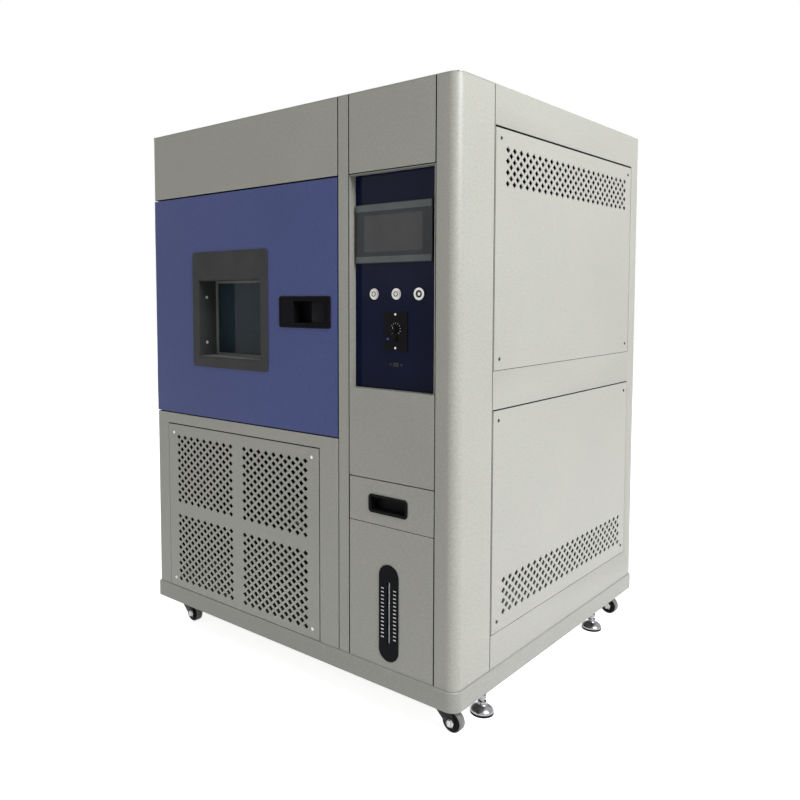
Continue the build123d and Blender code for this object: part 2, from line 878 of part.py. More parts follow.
def carousel_drive():
    """Gear motor on top of the liner that turns the carousel."""
    z0 = space_top + liner_wall
    half = gearbox_size / 2
    y = space_middle_y()
    body = block(fan_x - half, fan_x + half, y - half, y + half, z0, z0 + gearbox_height)
    return body - rod_z(fan_x, y, z0 - 1, z0 + gearbox_height - 10, carousel_shaft + running_gap)


def fan_wheel(x, y0, y1, z, radius, hub, blades, shaft_end, shaft_radius):
    """Bladed wheel with its shaft, turning about an axis along Y."""
    wheel = rod_y(x, y0, y1, z, hub)
    for index in range(blades):
        blade = Pos(x, (y0 + y1) / 2, z) * Rot(0, 360 * index / blades, 0)
        blade = blade * Pos((radius + hub - 2) / 2, 0, 0) * Rot(35, 0, 0)
        wheel += blade * Box(radius - hub + 2, (y1 - y0) * 0.9, 2.0)
    return wheel + rod_y(x, y0, shaft_end, z, shaft_radius)


def circulation_fan():
    """Fan wheel behind the duct panel, on the motor's shaft."""
    y0 = space_back + duct_plate + fan_forward
    shaft_end = space_back + duct_space + liner_wall + motor_length / 2 - 1
    return fan_wheel(fan_x, y0, y0 + fan_width, fan_z, fan_radius, fan_hub_radius, fan_blades,
                     shaft_end, fan_shaft_radius)


def heater():
    """Ribbon heater round the fan, on two legs from the liner's back."""
    y = space_back + duct_plate + heater_forward
    ring = (rod_y(fan_x, y, y + heater_ribbon, fan_z, heater_radius)
            - rod_y(fan_x, y - 1, y + heater_ribbon + 1, fan_z, heater_radius - heater_rod))
    for side in (-1, 1):
        x = fan_x + side * (heater_radius - heater_rod / 2)
        ring += block(x - heater_rod / 2, x + heater_rod / 2, y, space_back + duct_space,
                      fan_z - heater_rod, fan_z + heater_rod)
    return ring


def carousel():
    """Turning specimen rack: shaft, spokes, ring and hanging hooks."""
    y = space_middle_y()
    z1 = space_top - carousel_drop
    z0 = z1 - carousel_plate
    ring = (rod_z(fan_x, y, z0, z1, carousel_radius)
            - rod_z(fan_x, y, z0 - 1, z1 + 1, carousel_radius - carousel_ring))
    for index in range(4):
        spoke = Pos(fan_x, y, (z0 + z1) / 2) * Rot(0, 0, 90 * index)
        reach = carousel_radius - carousel_ring / 2
        ring += spoke * Pos(reach / 2, 0, 0) * Box(reach, 12, carousel_plate)
    ring += rod_z(fan_x, y, z0 - 4, z1 + 10, carousel_hub)
    ring += rod_z(fan_x, y, z1, space_top + liner_wall + gearbox_height - 12, carousel_shaft)
    for index in range(carousel_hooks):
        angle = 2 * math.pi * (index + 0.5) / carousel_hooks
        reach = carousel_radius - carousel_ring / 2
        hook_x = fan_x + reach * math.cos(angle)
        hook_y = y + reach * math.sin(angle)
        ring += Pos(hook_x, hook_y, z0 - hook_length / 2 + 0.5) * Box(
            2 * hook_radius, 2 * hook_radius, hook_length)
    return ring


def condensing_unit():
    """Compressor and finned condenser on one base plate."""
    base = block(unit_left, unit_left + unit_width, unit_front, unit_front + unit_depth,
                 plinth_wall, unit_floor)
    can = rod_z(unit_left + compressor_across, unit_front + compressor_back, unit_floor,
                unit_floor + compressor_height, compressor_radius)
    can = chamfer(can.edges().sort_by(Axis.Z)[-1], compressor_crown)
    coil = block(condenser_x - condenser_width / 2, condenser_x + condenser_width / 2,
                 condenser_y, condenser_y + condenser_depth, unit_floor,
                 unit_floor + condenser_height)
    hole = rod_y(condenser_x, condenser_y - 1,
                 condenser_y + condenser_fan_depth + condenser_fan_gap, condenser_z,
                 condenser_fan_radius + condenser_fan_gap)
    pin = rod_y(condenser_x, condenser_y, condenser_y + condenser_depth, condenser_z,
                condenser_pin_radius)
    return base + can + (coil - hole) + pin


def condenser_fan():
    """Propeller in front of the condenser, turning on the condenser's pin."""
    y0 = condenser_y + sheet
    wheel = fan_wheel(condenser_x, y0, y0 + condenser_fan_depth, condenser_z,
                      condenser_fan_radius, condenser_hub_radius, condenser_fan_blades,
                      y0 + condenser_fan_depth, condenser_hub_radius / 2)
    return wheel - rod_y(condenser_x, y0 - 1, y0 + condenser_fan_depth + 1, condenser_z,
                         condenser_pin_radius + running_gap)


def ozone_generator():
    """Generator box on the machine bay floor at the left."""
    return block(generator_left, generator_left + generator_width, generator_front,
                 generator_front + generator_depth, plinth_wall, plinth_wall + generator_height)


def water_tank():
    """Water tank on the floor behind the gauge."""
    x0 = (bay_left + bay_right - tank_width) / 2
    x1, y1 = x0 + tank_width, tank_front + tank_depth
    z0, z1 = plinth_wall, plinth_wall + tank_height
    body = block(x0, x1, tank_front, y1, z0, z1)
    body -= block(x0 + tank_wall, x1 - tank_wall, tank_front + tank_wall, y1 - tank_wall,
                  z0 + tank_wall, z1 - tank_wall)
    mid_x, mid_y = (x0 + x1) / 2, (tank_front + y1) / 2
    body += rod_z(mid_x, mid_y, z1 - 1, z1 + spout_height, spout_radius)
    return body - rod_z(mid_x, mid_y, z1 - tank_wall - 1, z1 + spout_height + 1,
                        spout_radius - tank_wall)


def cable_gland():
    """Gland in the rear wall, with no lead in it."""
    y0, y1 = cabinet_depth, cabinet_depth + gland_length
    body = Pos(gland_inset, y0, gland_up) * Rot(-90, 0, 0) * extrude(
        RegularPolygon(gland_radius, 6), 10)
    body += rod_y(gland_inset, y0, y1, gland_up, gland_thread)
    body += rod_y(gland_inset, y0 - sheet - 8, y0 + 1, gland_up, gland_thread - running_gap)
    return body - rod_y(gland_inset, y0 - sheet - 9, y1 + 1, gland_up, gland_bore)


def hinge_straps():
    """Cabinet halves of the hinges, with their pins, and the latch striker."""
    pieces = []
    for level in hinge_levels:
        low = level - hinge_half
        knuckle = rod_z(hinge_x, hinge_axis_back, low, level, hinge_radius)
        arm = block(hinge_x, hinge_x + hinge_arm, hinge_axis_back, body_front + 2, low, level)
        plate = block(hinge_x, 0, body_front + 2, body_front + 2 + hinge_plate_reach, low, level)
        pin = rod_z(hinge_x, hinge_axis_back, level - 1, level + hinge_half - 4, hinge_pin_radius)
        pieces.append(knuckle + arm + plate + pin)
    x = door_right - striker_inset
    z = latch_mid
    foot = block(x - striker_width / 2, x + striker_width / 2, body_front - 3, body_front,
                 z - 18, z + 18)
    loop = block(x - striker_width / 2, x + striker_width / 2, body_front - striker_reach,
                 body_front - 2, z - 12, z + 12)
    loop -= block(x - striker_width, x + striker_width, body_front - striker_reach + 5,
                  body_front - 3, z - 8, z + 8)
    pieces.append(foot + loop)
    return pieces


def hinge_leaves():
    """Door halves of the hinges."""
    pieces = []
    for level in hinge_levels:
        low, high = level + touch_gap, level + hinge_half
        knuckle = rod_z(hinge_x, hinge_axis_back, low, high, hinge_radius)
        plate = block(-hinge_leaf, 0, hinge_axis_back, door_thickness - 4, low, high)
        web = block(hinge_x, 0, hinge_axis_back - 3, hinge_axis_back + 3, low, high)
        bore = rod_z(hinge_x, hinge_axis_back, low - 1, high + 1, hinge_pin_radius + running_gap)
        pieces.append(knuckle + plate + web - bore)
    return pieces


def striker_mouth():
    """Space in the back of the door that the striker goes into."""
    x = door_right - striker_inset
    return block(x - striker_mouth_width / 2, x + striker_mouth_width / 2,
                 body_front - striker_reach - 4, body_front + 1,
                 latch_mid - striker_mouth_height / 2, latch_mid + striker_mouth_height / 2)


def window_hole(grow, y0, y1):
    """Block that cuts the window's hole, larger all round by the given amount."""
    return block(sight_left - window_wall - grow, sight_right + window_wall + grow, y0, y1,
                 sight_low - window_wall - grow, sight_high + window_wall + grow)


def door_shell():
    """Painted door pan: front skin and four folded edges."""
    outer = block(0, door_right, 0, door_thickness - door_skin, door_low, door_high)
    inner = block(door_skin, door_right - door_skin, door_skin, door_thickness,
                  door_low + door_skin, door_high - door_skin)
    latch_hole = block(latch_left + latch_rim, latch_right - latch_rim, -1, door_skin + 1,
                       latch_bottom + latch_rim, latch_bottom + latch_height - latch_rim)
    return outer - inner - window_hole(touch_gap, -1, door_skin + 1) - latch_hole


def door_liner():
    """Stainless back of the door with the raised plug that enters the test space."""
    back = door_thickness
    body = block(0, door_right, back - door_skin, back, door_low, door_high)
    plug_x0, plug_x1 = plug_inset, space_right - (plug_inset - space_left) - 4
    plug_z0, plug_z1 = door_bottom + plug_inset_low, space_top - (door_bottom + plug_inset_low
                                                                  - space_bottom)
    plug = block(plug_x0, plug_x1, back - door_skin, back + plug_depth, plug_z0, plug_z1)
    plug -= block(plug_x0 + door_skin, plug_x1 - door_skin, back - 2 * door_skin,
                  back + plug_depth - door_skin, plug_z0 + door_skin, plug_z1 - door_skin)
    body -= block(plug_x0 + door_skin, plug_x1 - door_skin, back - 2 * door_skin, back + 1,
                  plug_z0 + door_skin, plug_z1 - door_skin)
    body += plug
    return body - window_hole(touch_gap, back - 2 * door_skin, back + plug_depth + 1) - striker_mouth()


def window_frame():
    """Moulded window surround with a tall head, a deep reveal and a ribbed sill."""
    flange = block(window_left, window_left + window_width, -window_proud, 0,
                   window_bottom, window_bottom + window_height)
    flange = fillet(flange.edges().filter_by(Axis.Y), 4)
    flange = chamfer(flange.faces().sort_by(Axis.Y)[0].edges(), 1.2)
    depth = door_thickness + plug_depth
    tube = window_hole(0, -1, depth)
    sight = block(sight_left, sight_right, -window_proud - 1, depth + 1, sight_low, sight_high)
    body = flange + tube - sight
    rebate = block(sight_left - window_wall / 2, sight_right + window_wall / 2,
                   sight_depth, depth - 1, sight_low - window_wall / 2,
                   sight_high + window_wall / 2)
    body -= rebate
    ribs = []
    for index in range(5):
        y = 8 + index * 11.0
        ribs.append(block(sight_left, sight_right, y, y + 2, sight_low - 0.5, sight_low + 1.5))
    return body + ribs


def window_panes():
    """Two panes with a spacer gap, held in the rebate of the frame."""
    panes = []
    for y in (sight_depth, sight_depth + pane_thickness + pane_space / 4):
        panes.append(block(sight_left - window_wall / 2 + touch_gap,
                           sight_right + window_wall / 2 - touch_gap, y, y + pane_thickness * 0.8,
                           sight_low - window_wall / 2 + touch_gap,
                           sight_high + window_wall / 2 - touch_gap))
    return panes


def door_gasket():
    """Flat ring of silicone round the plug, pressed on the frame when the door is shut."""
    x0, x1 = plug_inset - gasket_margin - gasket_width, space_right + gasket_margin + gasket_width
    z0, z1 = space_bottom - gasket_margin - gasket_width, space_top + gasket_margin + gasket_width
    ring = block(x0, x1, door_thickness, body_front, z0, z1)
    return ring - block(x0 + gasket_width, x1 - gasket_width, door_thickness - 1, body_front + 1,
                        z0 + gasket_width, z1 - gasket_width)


def latch_body():
    """Rimmed pan with a finger pocket, set in the door."""
    flange = block(latch_left, latch_right, -latch_proud, 0, latch_bottom,
                   latch_bottom + latch_height)
    flange = chamfer(flange.faces().sort_by(Axis.Y)[0].edges(), 1.0)
    pan = block(latch_left + latch_rim + touch_gap, latch_right - latch_rim - touch_gap,
                -latch_proud, latch_depth, latch_bottom + latch_rim + touch_gap,
                latch_bottom + latch_height - latch_rim - touch_gap)
    body = flange + pan
    x0 = latch_left + pocket_left
    pocket = block(x0, x0 + pocket_width, -latch_proud - 1, pocket_depth,
                   latch_mid - pocket_height / 2, latch_mid + pocket_height / 2)
    body -= pocket
    pin_x, pin_y = paddle_axis()
    reach = pocket_height / 2 + 6
    return body - rod_z(pin_x, pin_y, latch_mid - reach, latch_mid + reach,
                        paddle_pin_radius + running_gap)


def paddle_axis():
    """Upright axis of the paddle, near its right edge."""
    return (latch_left + pocket_left + pocket_width - paddle_clearance - paddle_thickness,
            paddle_thickness * 0.5)


def latch_paddle():
    """Pull plate on an upright pin, with a lip turned into the pocket."""
    pin_x, pin_y = paddle_axis()
    x1 = latch_left + pocket_left + pocket_width - paddle_clearance
    x0 = x1 - paddle_width
    half = pocket_height / 2 - paddle_clearance
    plate = block(x0, pin_x, pin_y - paddle_thickness / 2, pin_y + paddle_thickness / 2,
                  latch_mid - half, latch_mid + half)
    lip = block(x0, x0 + 3.0, pin_y, pin_y + paddle_lip, latch_mid - half, latch_mid + half - 12)
    barrel = rod_z(pin_x, pin_y, latch_mid - half, latch_mid + half, paddle_thickness / 2)
    pin = rod_z(pin_x, pin_y, latch_mid - half - 5, latch_mid + half + 5, paddle_pin_radius)
    return plate + lip + barrel + pin


def levelling_foot(x, y):
    """Cup, stud and lock nut in one piece, and the rubber pad under the cup."""
    low = -floor_clearance
    pad = rod_z(x, y, low, low + foot_pad_height, foot_radius)
    cup_low = low + foot_pad_height
    cup = Pos(x, y, cup_low + foot_cup_height / 2) * Cone(foot_radius - 1.5, foot_neck_radius,
                                                          foot_cup_height)
    neck = hex_z(x, y, cup_low + foot_cup_height, cup_low + foot_cup_height + foot_nut_height,
                 foot_nut_radius)
    stud = rod_z(x, y, cup_low + foot_cup_height, plinth_wall + foot_stud_above, foot_stud_radius)
    return cup + neck + stud, pad


def wheel_centre(x):
    """Axle of a caster whose swivel axis is at x: its place along X and Z."""
    return x + caster_trail, -floor_clearance + wheel_lift + wheel_radius


def caster_fork(x, y):
    """Pressed fork with its crown and kingpin, and the axle bolt with its nut."""
    wheel_x, wheel_z = wheel_centre(x)
    crown_top = -caster_plate_thickness - touch_gap
    crown_low = crown_top - crown_height
    half = wheel_width / 2 + fork_gap
    crown = rod_z(x, y, crown_low, crown_top, crown_radius)
    kingpin = rod_z(x, y, crown_low, -touch_gap, kingpin_radius)
    reach_x = crown_radius - fork_wall
    outline = Polyline((x - reach_x, crown_top), (x + reach_x, crown_top),
                       (wheel_x + fork_foot, wheel_z + fork_foot / 2),
                       (wheel_x + fork_foot / 2, wheel_z - fork_foot),
                       (wheel_x - fork_foot / 2, wheel_z - fork_foot),
                       (x - reach_x, crown_low - crown_height), close=True)
    legs = [front_plate(make_face(outline), y + side * half - (fork_wall if side < 0 else 0),
                        y + side * half + (fork_wall if side > 0 else 0)) for side in (-1, 1)]
    bridge = block(x - reach_x, x + reach_x, y - half - fork_wall, y + half + fork_wall,
                   crown_low, crown_top)
    body = crown + kingpin + legs + bridge
    reach = half + fork_wall
    body += rod_y(wheel_x, y - half, y + half, wheel_z, axle_radius)
    for y0 in (y - reach - axle_nut_height, y + reach):
        body += Pos(wheel_x, y0, wheel_z) * Rot(-90, 0, 0) * extrude(
            RegularPolygon(axle_nut_radius, 6), axle_nut_height)
    return body


def caster_wheel(x, y):
    """Wheel that turns on the fork's axle, with a chamfer on each side of its tread."""
    wheel_x, wheel_z = wheel_centre(x)
    half = wheel_width / 2
    wheel = rod_y(wheel_x, y - half, y + half, wheel_z, wheel_radius)
    wheel = chamfer(wheel.edges().filter_by(GeomType.CIRCLE), wheel_chamfer)
    return wheel - rod_y(wheel_x, y - half - 1, y + half + 1, wheel_z, axle_radius + running_gap)


def main():
    """Build every sub-part and write it to its own file."""
    os.makedirs("parts", exist_ok=True)
    save("base_frame", plinth())
    save("casing_panels", *casing())
    save("top_panels",
         folded_front(sheet, left_bay_width - seam / 2, top_line, roof_under),
         folded_front(bay_left + seam / 2, bay_right - seam / 2, top_line, roof_under))
    save("upright_strip", upright_strip())
    save("corner_post", corner_post())
    save("right_side_frame", right_side())
    save("side_vent_panels", side_vent(side_panel_high, side_panel_high_top, True),
         side_vent(side_panel_low, side_panel_low_top, False))
    save("front_lower_frame", lower_frame())
    save("front_vent_panel", front_vent())
    save("panel_screws", *screw_heads())
    save("control_surround", control_surround())
    save("control_panel", control_panel())
    save("touch_screen", *touch_screen())
    save("panel_fittings", *fixed_fittings())
    left_button, right_button = button_centres()[:2]
    save("power_button", push_button(*left_button))
    save("run_button", push_button(*right_button))
    save("thermostat_plate", *thermostat())
    save("thermostat_knob", thermostat_knob())
    save("thermostat_reset", reset_button())
    save("drawer_front", drawer_front())
    save("drawer_pull", drawer_pull())
    save("drawer_tray", drawer_tray())
    save("drawer_housing", drawer_housing())
    save("low_front_panel", low_panel())
    save("gauge_plate", gauge_plate())
    save("gauge_tube", gauge_tube())
    save("door_frame", door_frame())
    save("chamber_liner", liner())
    save("duct_panel", duct_panel())
    save("drive_motors", fan_motor(), carousel_drive())
    save("circulation_fan", circulation_fan())
    save("heater", heater())
    save("specimen_carousel", carousel())
    save("condensing_unit", condensing_unit())
    save("condenser_fan", condenser_fan())
    save("ozone_generator", ozone_generator())
    save("water_tank", water_tank())
    save("cable_gland", cable_gland())
    save("hinge_straps", *hinge_straps())
    save("hinge_leaves", *hinge_leaves())
    save("door_shell", door_shell())
    save("door_liner", door_liner())
    save("window_frame", window_frame())
    save("window_panes", *window_panes())
    save("door_gasket", door_gasket())
    save("latch_body", latch_body())
    save("latch_paddle", latch_paddle())
    corners = ("front_right", "front_left", "rear_right", "rear_left")
    for corner, (x, y) in zip(corners, foot_places()):
        save("levelling_foot_" + corner, *levelling_foot(x, y))
    plates = []
    for corner, (x, y) in zip(corners, caster_places()):
        plate = block(x - caster_plate / 2, x + caster_plate / 2, y - caster_plate / 2,
                      y + caster_plate / 2, -caster_plate_thickness, 0)
        plates.append(plate - rod_z(x, y, -caster_plate_thickness - 1, 1,
                                    kingpin_radius + running_gap))
        save("caster_fork_" + corner, caster_fork(x, y))
        save("caster_wheel_" + corner, caster_wheel(x, y))
    save("caster_plates", *plates)


main()
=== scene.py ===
import bpy
import bmesh
import math
from mathutils import Matrix, Vector


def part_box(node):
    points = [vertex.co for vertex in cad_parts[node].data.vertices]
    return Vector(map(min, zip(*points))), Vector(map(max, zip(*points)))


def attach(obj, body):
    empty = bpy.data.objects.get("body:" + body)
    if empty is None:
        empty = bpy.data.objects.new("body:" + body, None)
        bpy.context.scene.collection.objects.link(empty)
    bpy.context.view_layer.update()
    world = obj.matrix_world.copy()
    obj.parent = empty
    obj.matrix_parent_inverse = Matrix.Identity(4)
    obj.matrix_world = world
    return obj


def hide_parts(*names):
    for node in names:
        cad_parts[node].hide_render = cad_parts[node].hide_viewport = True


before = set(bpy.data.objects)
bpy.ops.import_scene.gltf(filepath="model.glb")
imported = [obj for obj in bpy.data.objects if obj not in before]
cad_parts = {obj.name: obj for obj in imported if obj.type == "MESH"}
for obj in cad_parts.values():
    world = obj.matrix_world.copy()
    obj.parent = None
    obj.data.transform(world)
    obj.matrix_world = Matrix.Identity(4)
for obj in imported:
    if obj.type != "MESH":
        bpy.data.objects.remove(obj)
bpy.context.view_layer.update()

# Sizes are millimetres from the cabinet's front left corner, at the underside of the plinth
casingLow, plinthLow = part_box("casing_panels")[0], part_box("base_frame")[0]
cabinetCorner = Vector((casingLow[0], casingLow[1], plinthLow[2]))
unitVectors = (Vector((1, 0, 0)), Vector((0, 1, 0)), Vector((0, 0, 1)))
facingFront = (math.pi / 2, 0.0, 0.0)
facingRight = (math.pi / 2, 0.0, math.pi / 2)


def at(x, y, z):
    return cabinetCorner + Vector((x, y, z)) / 1000


def inCabinet(point):
    return (point - cabinetCorner) * 1000


def between(limits, value):
    return limits[0] < value < limits[1]


def grown(box, by):
    return (box[0] - by, box[1] + by, box[2] - by, box[3] + by)


def intoScene(name, data):
    thing = bpy.data.objects.new(name, data)
    bpy.context.scene.collection.objects.link(thing)
    return thing


# Small mesh helpers

def addBox(bm, xs, ys, zs):
    corners = [bm.verts.new(at(x, y, z)) for z in zs for y in ys for x in xs]
    for face in ((0, 2, 3, 1), (4, 5, 7, 6), (0, 1, 5, 4), (2, 6, 7, 3), (0, 4, 6, 2), (1, 3, 7, 5)):
        bm.faces.new([corners[i] for i in face])


def roundedOutline(box, radius, steps=6):
    # box is (left, right, low, high); the outline is a list of (x, z), anticlockwise as seen from the front
    left, right, low, high = box
    line = []
    for x, z, start in ((right - radius, low + radius, -90), (right - radius, high - radius, 0),
                        (left + radius, high - radius, 90), (left + radius, low + radius, 180)):
        for i in range(steps + 1):
            angle = math.radians(start + 90 * i / steps)
            line.append((x + radius * math.cos(angle), z + radius * math.sin(angle)))
    return line


def addPlate(bm, box, corner, ys):
    outline = roundedOutline(box, corner)
    front, back = [[bm.verts.new(at(x, y, z)) for x, z in outline] for y in ys]
    bm.faces.new(front)
    bm.faces.new(back[::-1])
    for i in range(len(front)):
        j = (i + 1) % len(front)
        bm.faces.new([front[j], front[i], back[i], back[j]])


def addRim(bm, outerBox, outerCorner, innerBox, innerCorner, ys):
    # a plate with a hole
    lines = (roundedOutline(outerBox, outerCorner), roundedOutline(innerBox, innerCorner))
    rings = [[bm.verts.new(at(x, y, z)) for x, z in line] for line in lines for y in ys]
    outFront, outBack, inFront, inBack = rings
    for i in range(len(outFront)):
        j = (i + 1) % len(outFront)
        bm.faces.new([outFront[i], outFront[j], inFront[j], inFront[i]])
        bm.faces.new([outBack[j], outBack[i], inBack[i], inBack[j]])
        bm.faces.new([outFront[j], outFront[i], outBack[i], outBack[j]])
        bm.faces.new([inFront[i], inFront[j], inBack[j], inBack[i]])


def joinRings(bm, lower, upper):
    for i in range(len(lower)):
        j = (i + 1) % len(lower)
        bm.faces.new([lower[i], lower[j], upper[j], upper[i]])


def addTurned(bm, centre, axis, profile, segments=48):
    # profile is a list of (radius, distance along the axis); radius 0 closes an end
    direction, sideways = unitVectors["xyz".index(axis)], unitVectors["zxy".index(axis)]
    across = direction.cross(sideways)
    origin = at(*centre)
    rings = []
    for radius, along in profile:
        ring = []
        for i in range(segments if radius else 1):
            angle = 2 * math.pi * i / segments
            spoke = sideways * math.cos(angle) + across * math.sin(angle)
            ring.append(bm.verts.new(origin + (direction * along + spoke * radius) / 1000))
        rings.append(ring)
    for lower, upper in zip(rings, rings[1:]):
        if len(lower) == len(upper):
            joinRings(bm, lower, upper)
            continue
        for i in range(segments):
            j = (i + 1) % segments
            if len(lower) == 1:
                bm.faces.new([lower[0], upper[j], upper[i]])
            else:
                bm.faces.new([lower[i], lower[j], upper[0]])


def startBox(size, centre=(0, 0, 0)):
    # a box in metres, for the node trees to repeat or to cut
    bm = bmesh.new()
    bmesh.ops.create_cube(bm, size=1.0)
    shape = Matrix.Translation(centre) @ Matrix.Diagonal((*size, 1))
    bmesh.ops.transform(bm, matrix=shape, verts=bm.verts[:])
    return bm


def dressPiece(name, mesh, materials, body, nodeName, smooth=35):
    for material in materials:
        mesh.materials.append(material)
    for polygon in mesh.polygons:
        polygon.use_smooth = True
    mesh.set_sharp_from_angle(angle=math.radians(smooth))
    piece = intoScene(name, mesh)
    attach(piece, body)
    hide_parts(nodeName)
    return piece


def makePiece(name, bm, finish, body, nodeName, smooth=35):
    bmesh.ops.recalc_face_normals(bm, faces=bm.faces[:])
    mesh = bpy.data.meshes.new(name)
    bm.to_mesh(mesh)
    bm.free()
    return dressPiece(name, mesh, [finishes[finish]], body, nodeName, smooth)


def roundEdges(piece, width, segments=2, sharperThan=40):
    bevel = piece.modifiers.new("rounded edges", "BEVEL")
    bevel.width = width / 1000
    bevel.segments = segments
    bevel.limit_method = "ANGLE"
    bevel.angle_limit = math.radians(sharperThan)


# Node helpers for materials

def startMaterial(name):
    material = bpy.data.materials.new(name)
    material.use_nodes = True
    return material, material.node_tree, material.node_tree.nodes["Principled BSDF"]


def addNode(tree, kind, settings=None, inputs=None):
    node = tree.nodes.new(kind)
    for key, value in (settings or {}).items():
        setattr(node, key, value)
    for key, value in (inputs or {}).items():
        node.inputs[key].default_value = value
    return node


def objectPlace(tree, stretch=(1, 1, 1)):
    coordinates = addNode(tree, "ShaderNodeTexCoord")
    mapping = addNode(tree, "ShaderNodeMapping", inputs={"Scale": stretch})
    tree.links.new(coordinates.outputs["Object"], mapping.inputs["Vector"])
    return mapping.outputs["Vector"]


def noise(tree, place, scale, detail=3, roughness=0.5):
    sizes = {"Scale": scale, "Detail": detail, "Roughness": roughness}
    node = addNode(tree, "ShaderNodeTexNoise", inputs=sizes)
    tree.links.new(place, node.inputs["Vector"])
    return node.outputs["Fac"]


def colourBetween(tree, factor, first, second):
    mix = addNode(tree, "ShaderNodeMix", {"data_type": "RGBA"})
    mix.inputs[6].default_value = (*first, 1)
    mix.inputs[7].default_value = (*second, 1)
    tree.links.new(factor, mix.inputs[0])
    return mix.outputs[2]


def stretchRange(tree, value, low, high, fromLow=0.3, fromHigh=0.7):
    node = addNode(tree, "ShaderNodeMapRange", inputs={
        "From Min": fromLow, "From Max": fromHigh, "To Min": low, "To Max": high})
    tree.links.new(value, node.inputs["Value"])
    return node.outputs["Result"]


def setRoughness(tree, shader, factor, low, high):
    tree.links.new(stretchRange(tree, factor, low, high), shader.inputs["Roughness"])


def setTone(tree, shader, factor, colour, share):
    darker = [channel * share for channel in colour]
    tree.links.new(colourBetween(tree, factor, colour, darker), shader.inputs["Base Color"])


def setBump(tree, shader, height, strength, distance):
    bump = addNode(tree, "ShaderNodeBump", inputs={"Strength": strength, "Distance": distance})
    tree.links.new(height, bump.inputs["Height"])
    tree.links.new(bump.outputs["Normal"], shader.inputs["Normal"])


# Finishes of the real parts

def powderCoat(name, colour, darker, rough=0.36, grain=420, strength=0.32, gloss=0.5):
    # hammered powder coat: a fine pebble with dark specks, and slow drifts of tone
    material, tree, shader = startMaterial(name)
    place = objectPlace(tree)
    drift = noise(tree, place, 3.5, 4)
    pebble = noise(tree, place, grain, 2, 0.6)
    speck = stretchRange(tree, noise(tree, place, grain * 0.55, 2, 0.7), 0, 1, 0.38, 0.62)
    tone = colourBetween(tree, stretchRange(tree, drift, 0.15, 0.85), colour, darker)
    speckled = addNode(tree, "ShaderNodeMix", {"data_type": "RGBA", "blend_type": "MULTIPLY"})
    speckled.inputs[0].default_value = 0.13  # how much the specks darken
    tree.links.new(tone, speckled.inputs[6])
    tree.links.new(speck, speckled.inputs[7])
    tree.links.new(speckled.outputs[2], shader.inputs["Base Color"])
    setRoughness(tree, shader, pebble, rough - 0.07, rough + 0.09)
    setBump(tree, shader, pebble, strength, 0.0012)
    shader.inputs["Specular IOR Level"].default_value = gloss
    return material


def brushedSteel(name, colour, rough=0.28):
    # fine scratches run up and down
    material, tree, shader = startMaterial(name)
    scratch = noise(tree, objectPlace(tree, (700, 700, 6)), 1.0, 3, 0.6)
    smear = noise(tree, objectPlace(tree), 6)
    setTone(tree, shader, stretchRange(tree, scratch, 0, 1), colour, 0.82)
    setRoughness(tree, shader, smear, rough - 0.05, rough + 0.12)
    setBump(tree, shader, scratch, 0.12, 0.0003)
    shader.inputs["Metallic"].default_value = 1.0
    return material


def platedMetal(name, colour, rough=0.12):
    material, tree, shader = startMaterial(name)
    wear = noise(tree, objectPlace(tree), 60, 4, 0.6)
    setTone(tree, shader, stretchRange(tree, wear, 0, 1), colour, 0.8)
    setRoughness(tree, shader, wear, rough, rough + 0.14)
    shader.inputs["Metallic"].default_value = 1.0
    return material


def mouldedPlastic(name, colour, rough=0.42, grain=900, strength=0.16, gloss=0.5):
    material, tree, shader = startMaterial(name)
    place = objectPlace(tree)
    drift = noise(tree, place, 14)
    setTone(tree, shader, stretchRange(tree, drift, 0, 1), colour, 0.8)
    setRoughness(tree, shader, drift, rough - 0.05, rough + 0.08)
    setBump(tree, shader, noise(tree, place, grain, 2), strength, 0.0002)
    shader.inputs["Specular IOR Level"].default_value = gloss
    return material


def clearGlass(name, tint, rough=0.02, clear=1.0, bending=1.45):
    material, tree, shader = startMaterial(name)
    smear = noise(tree, objectPlace(tree), 9)
    setTone(tree, shader, smear, tint, 0.92)
    setRoughness(tree, shader, smear, rough, rough + 0.03)
    shader.inputs["Transmission Weight"].default_value = clear
    shader.inputs["IOR"].default_value = bending
    return material


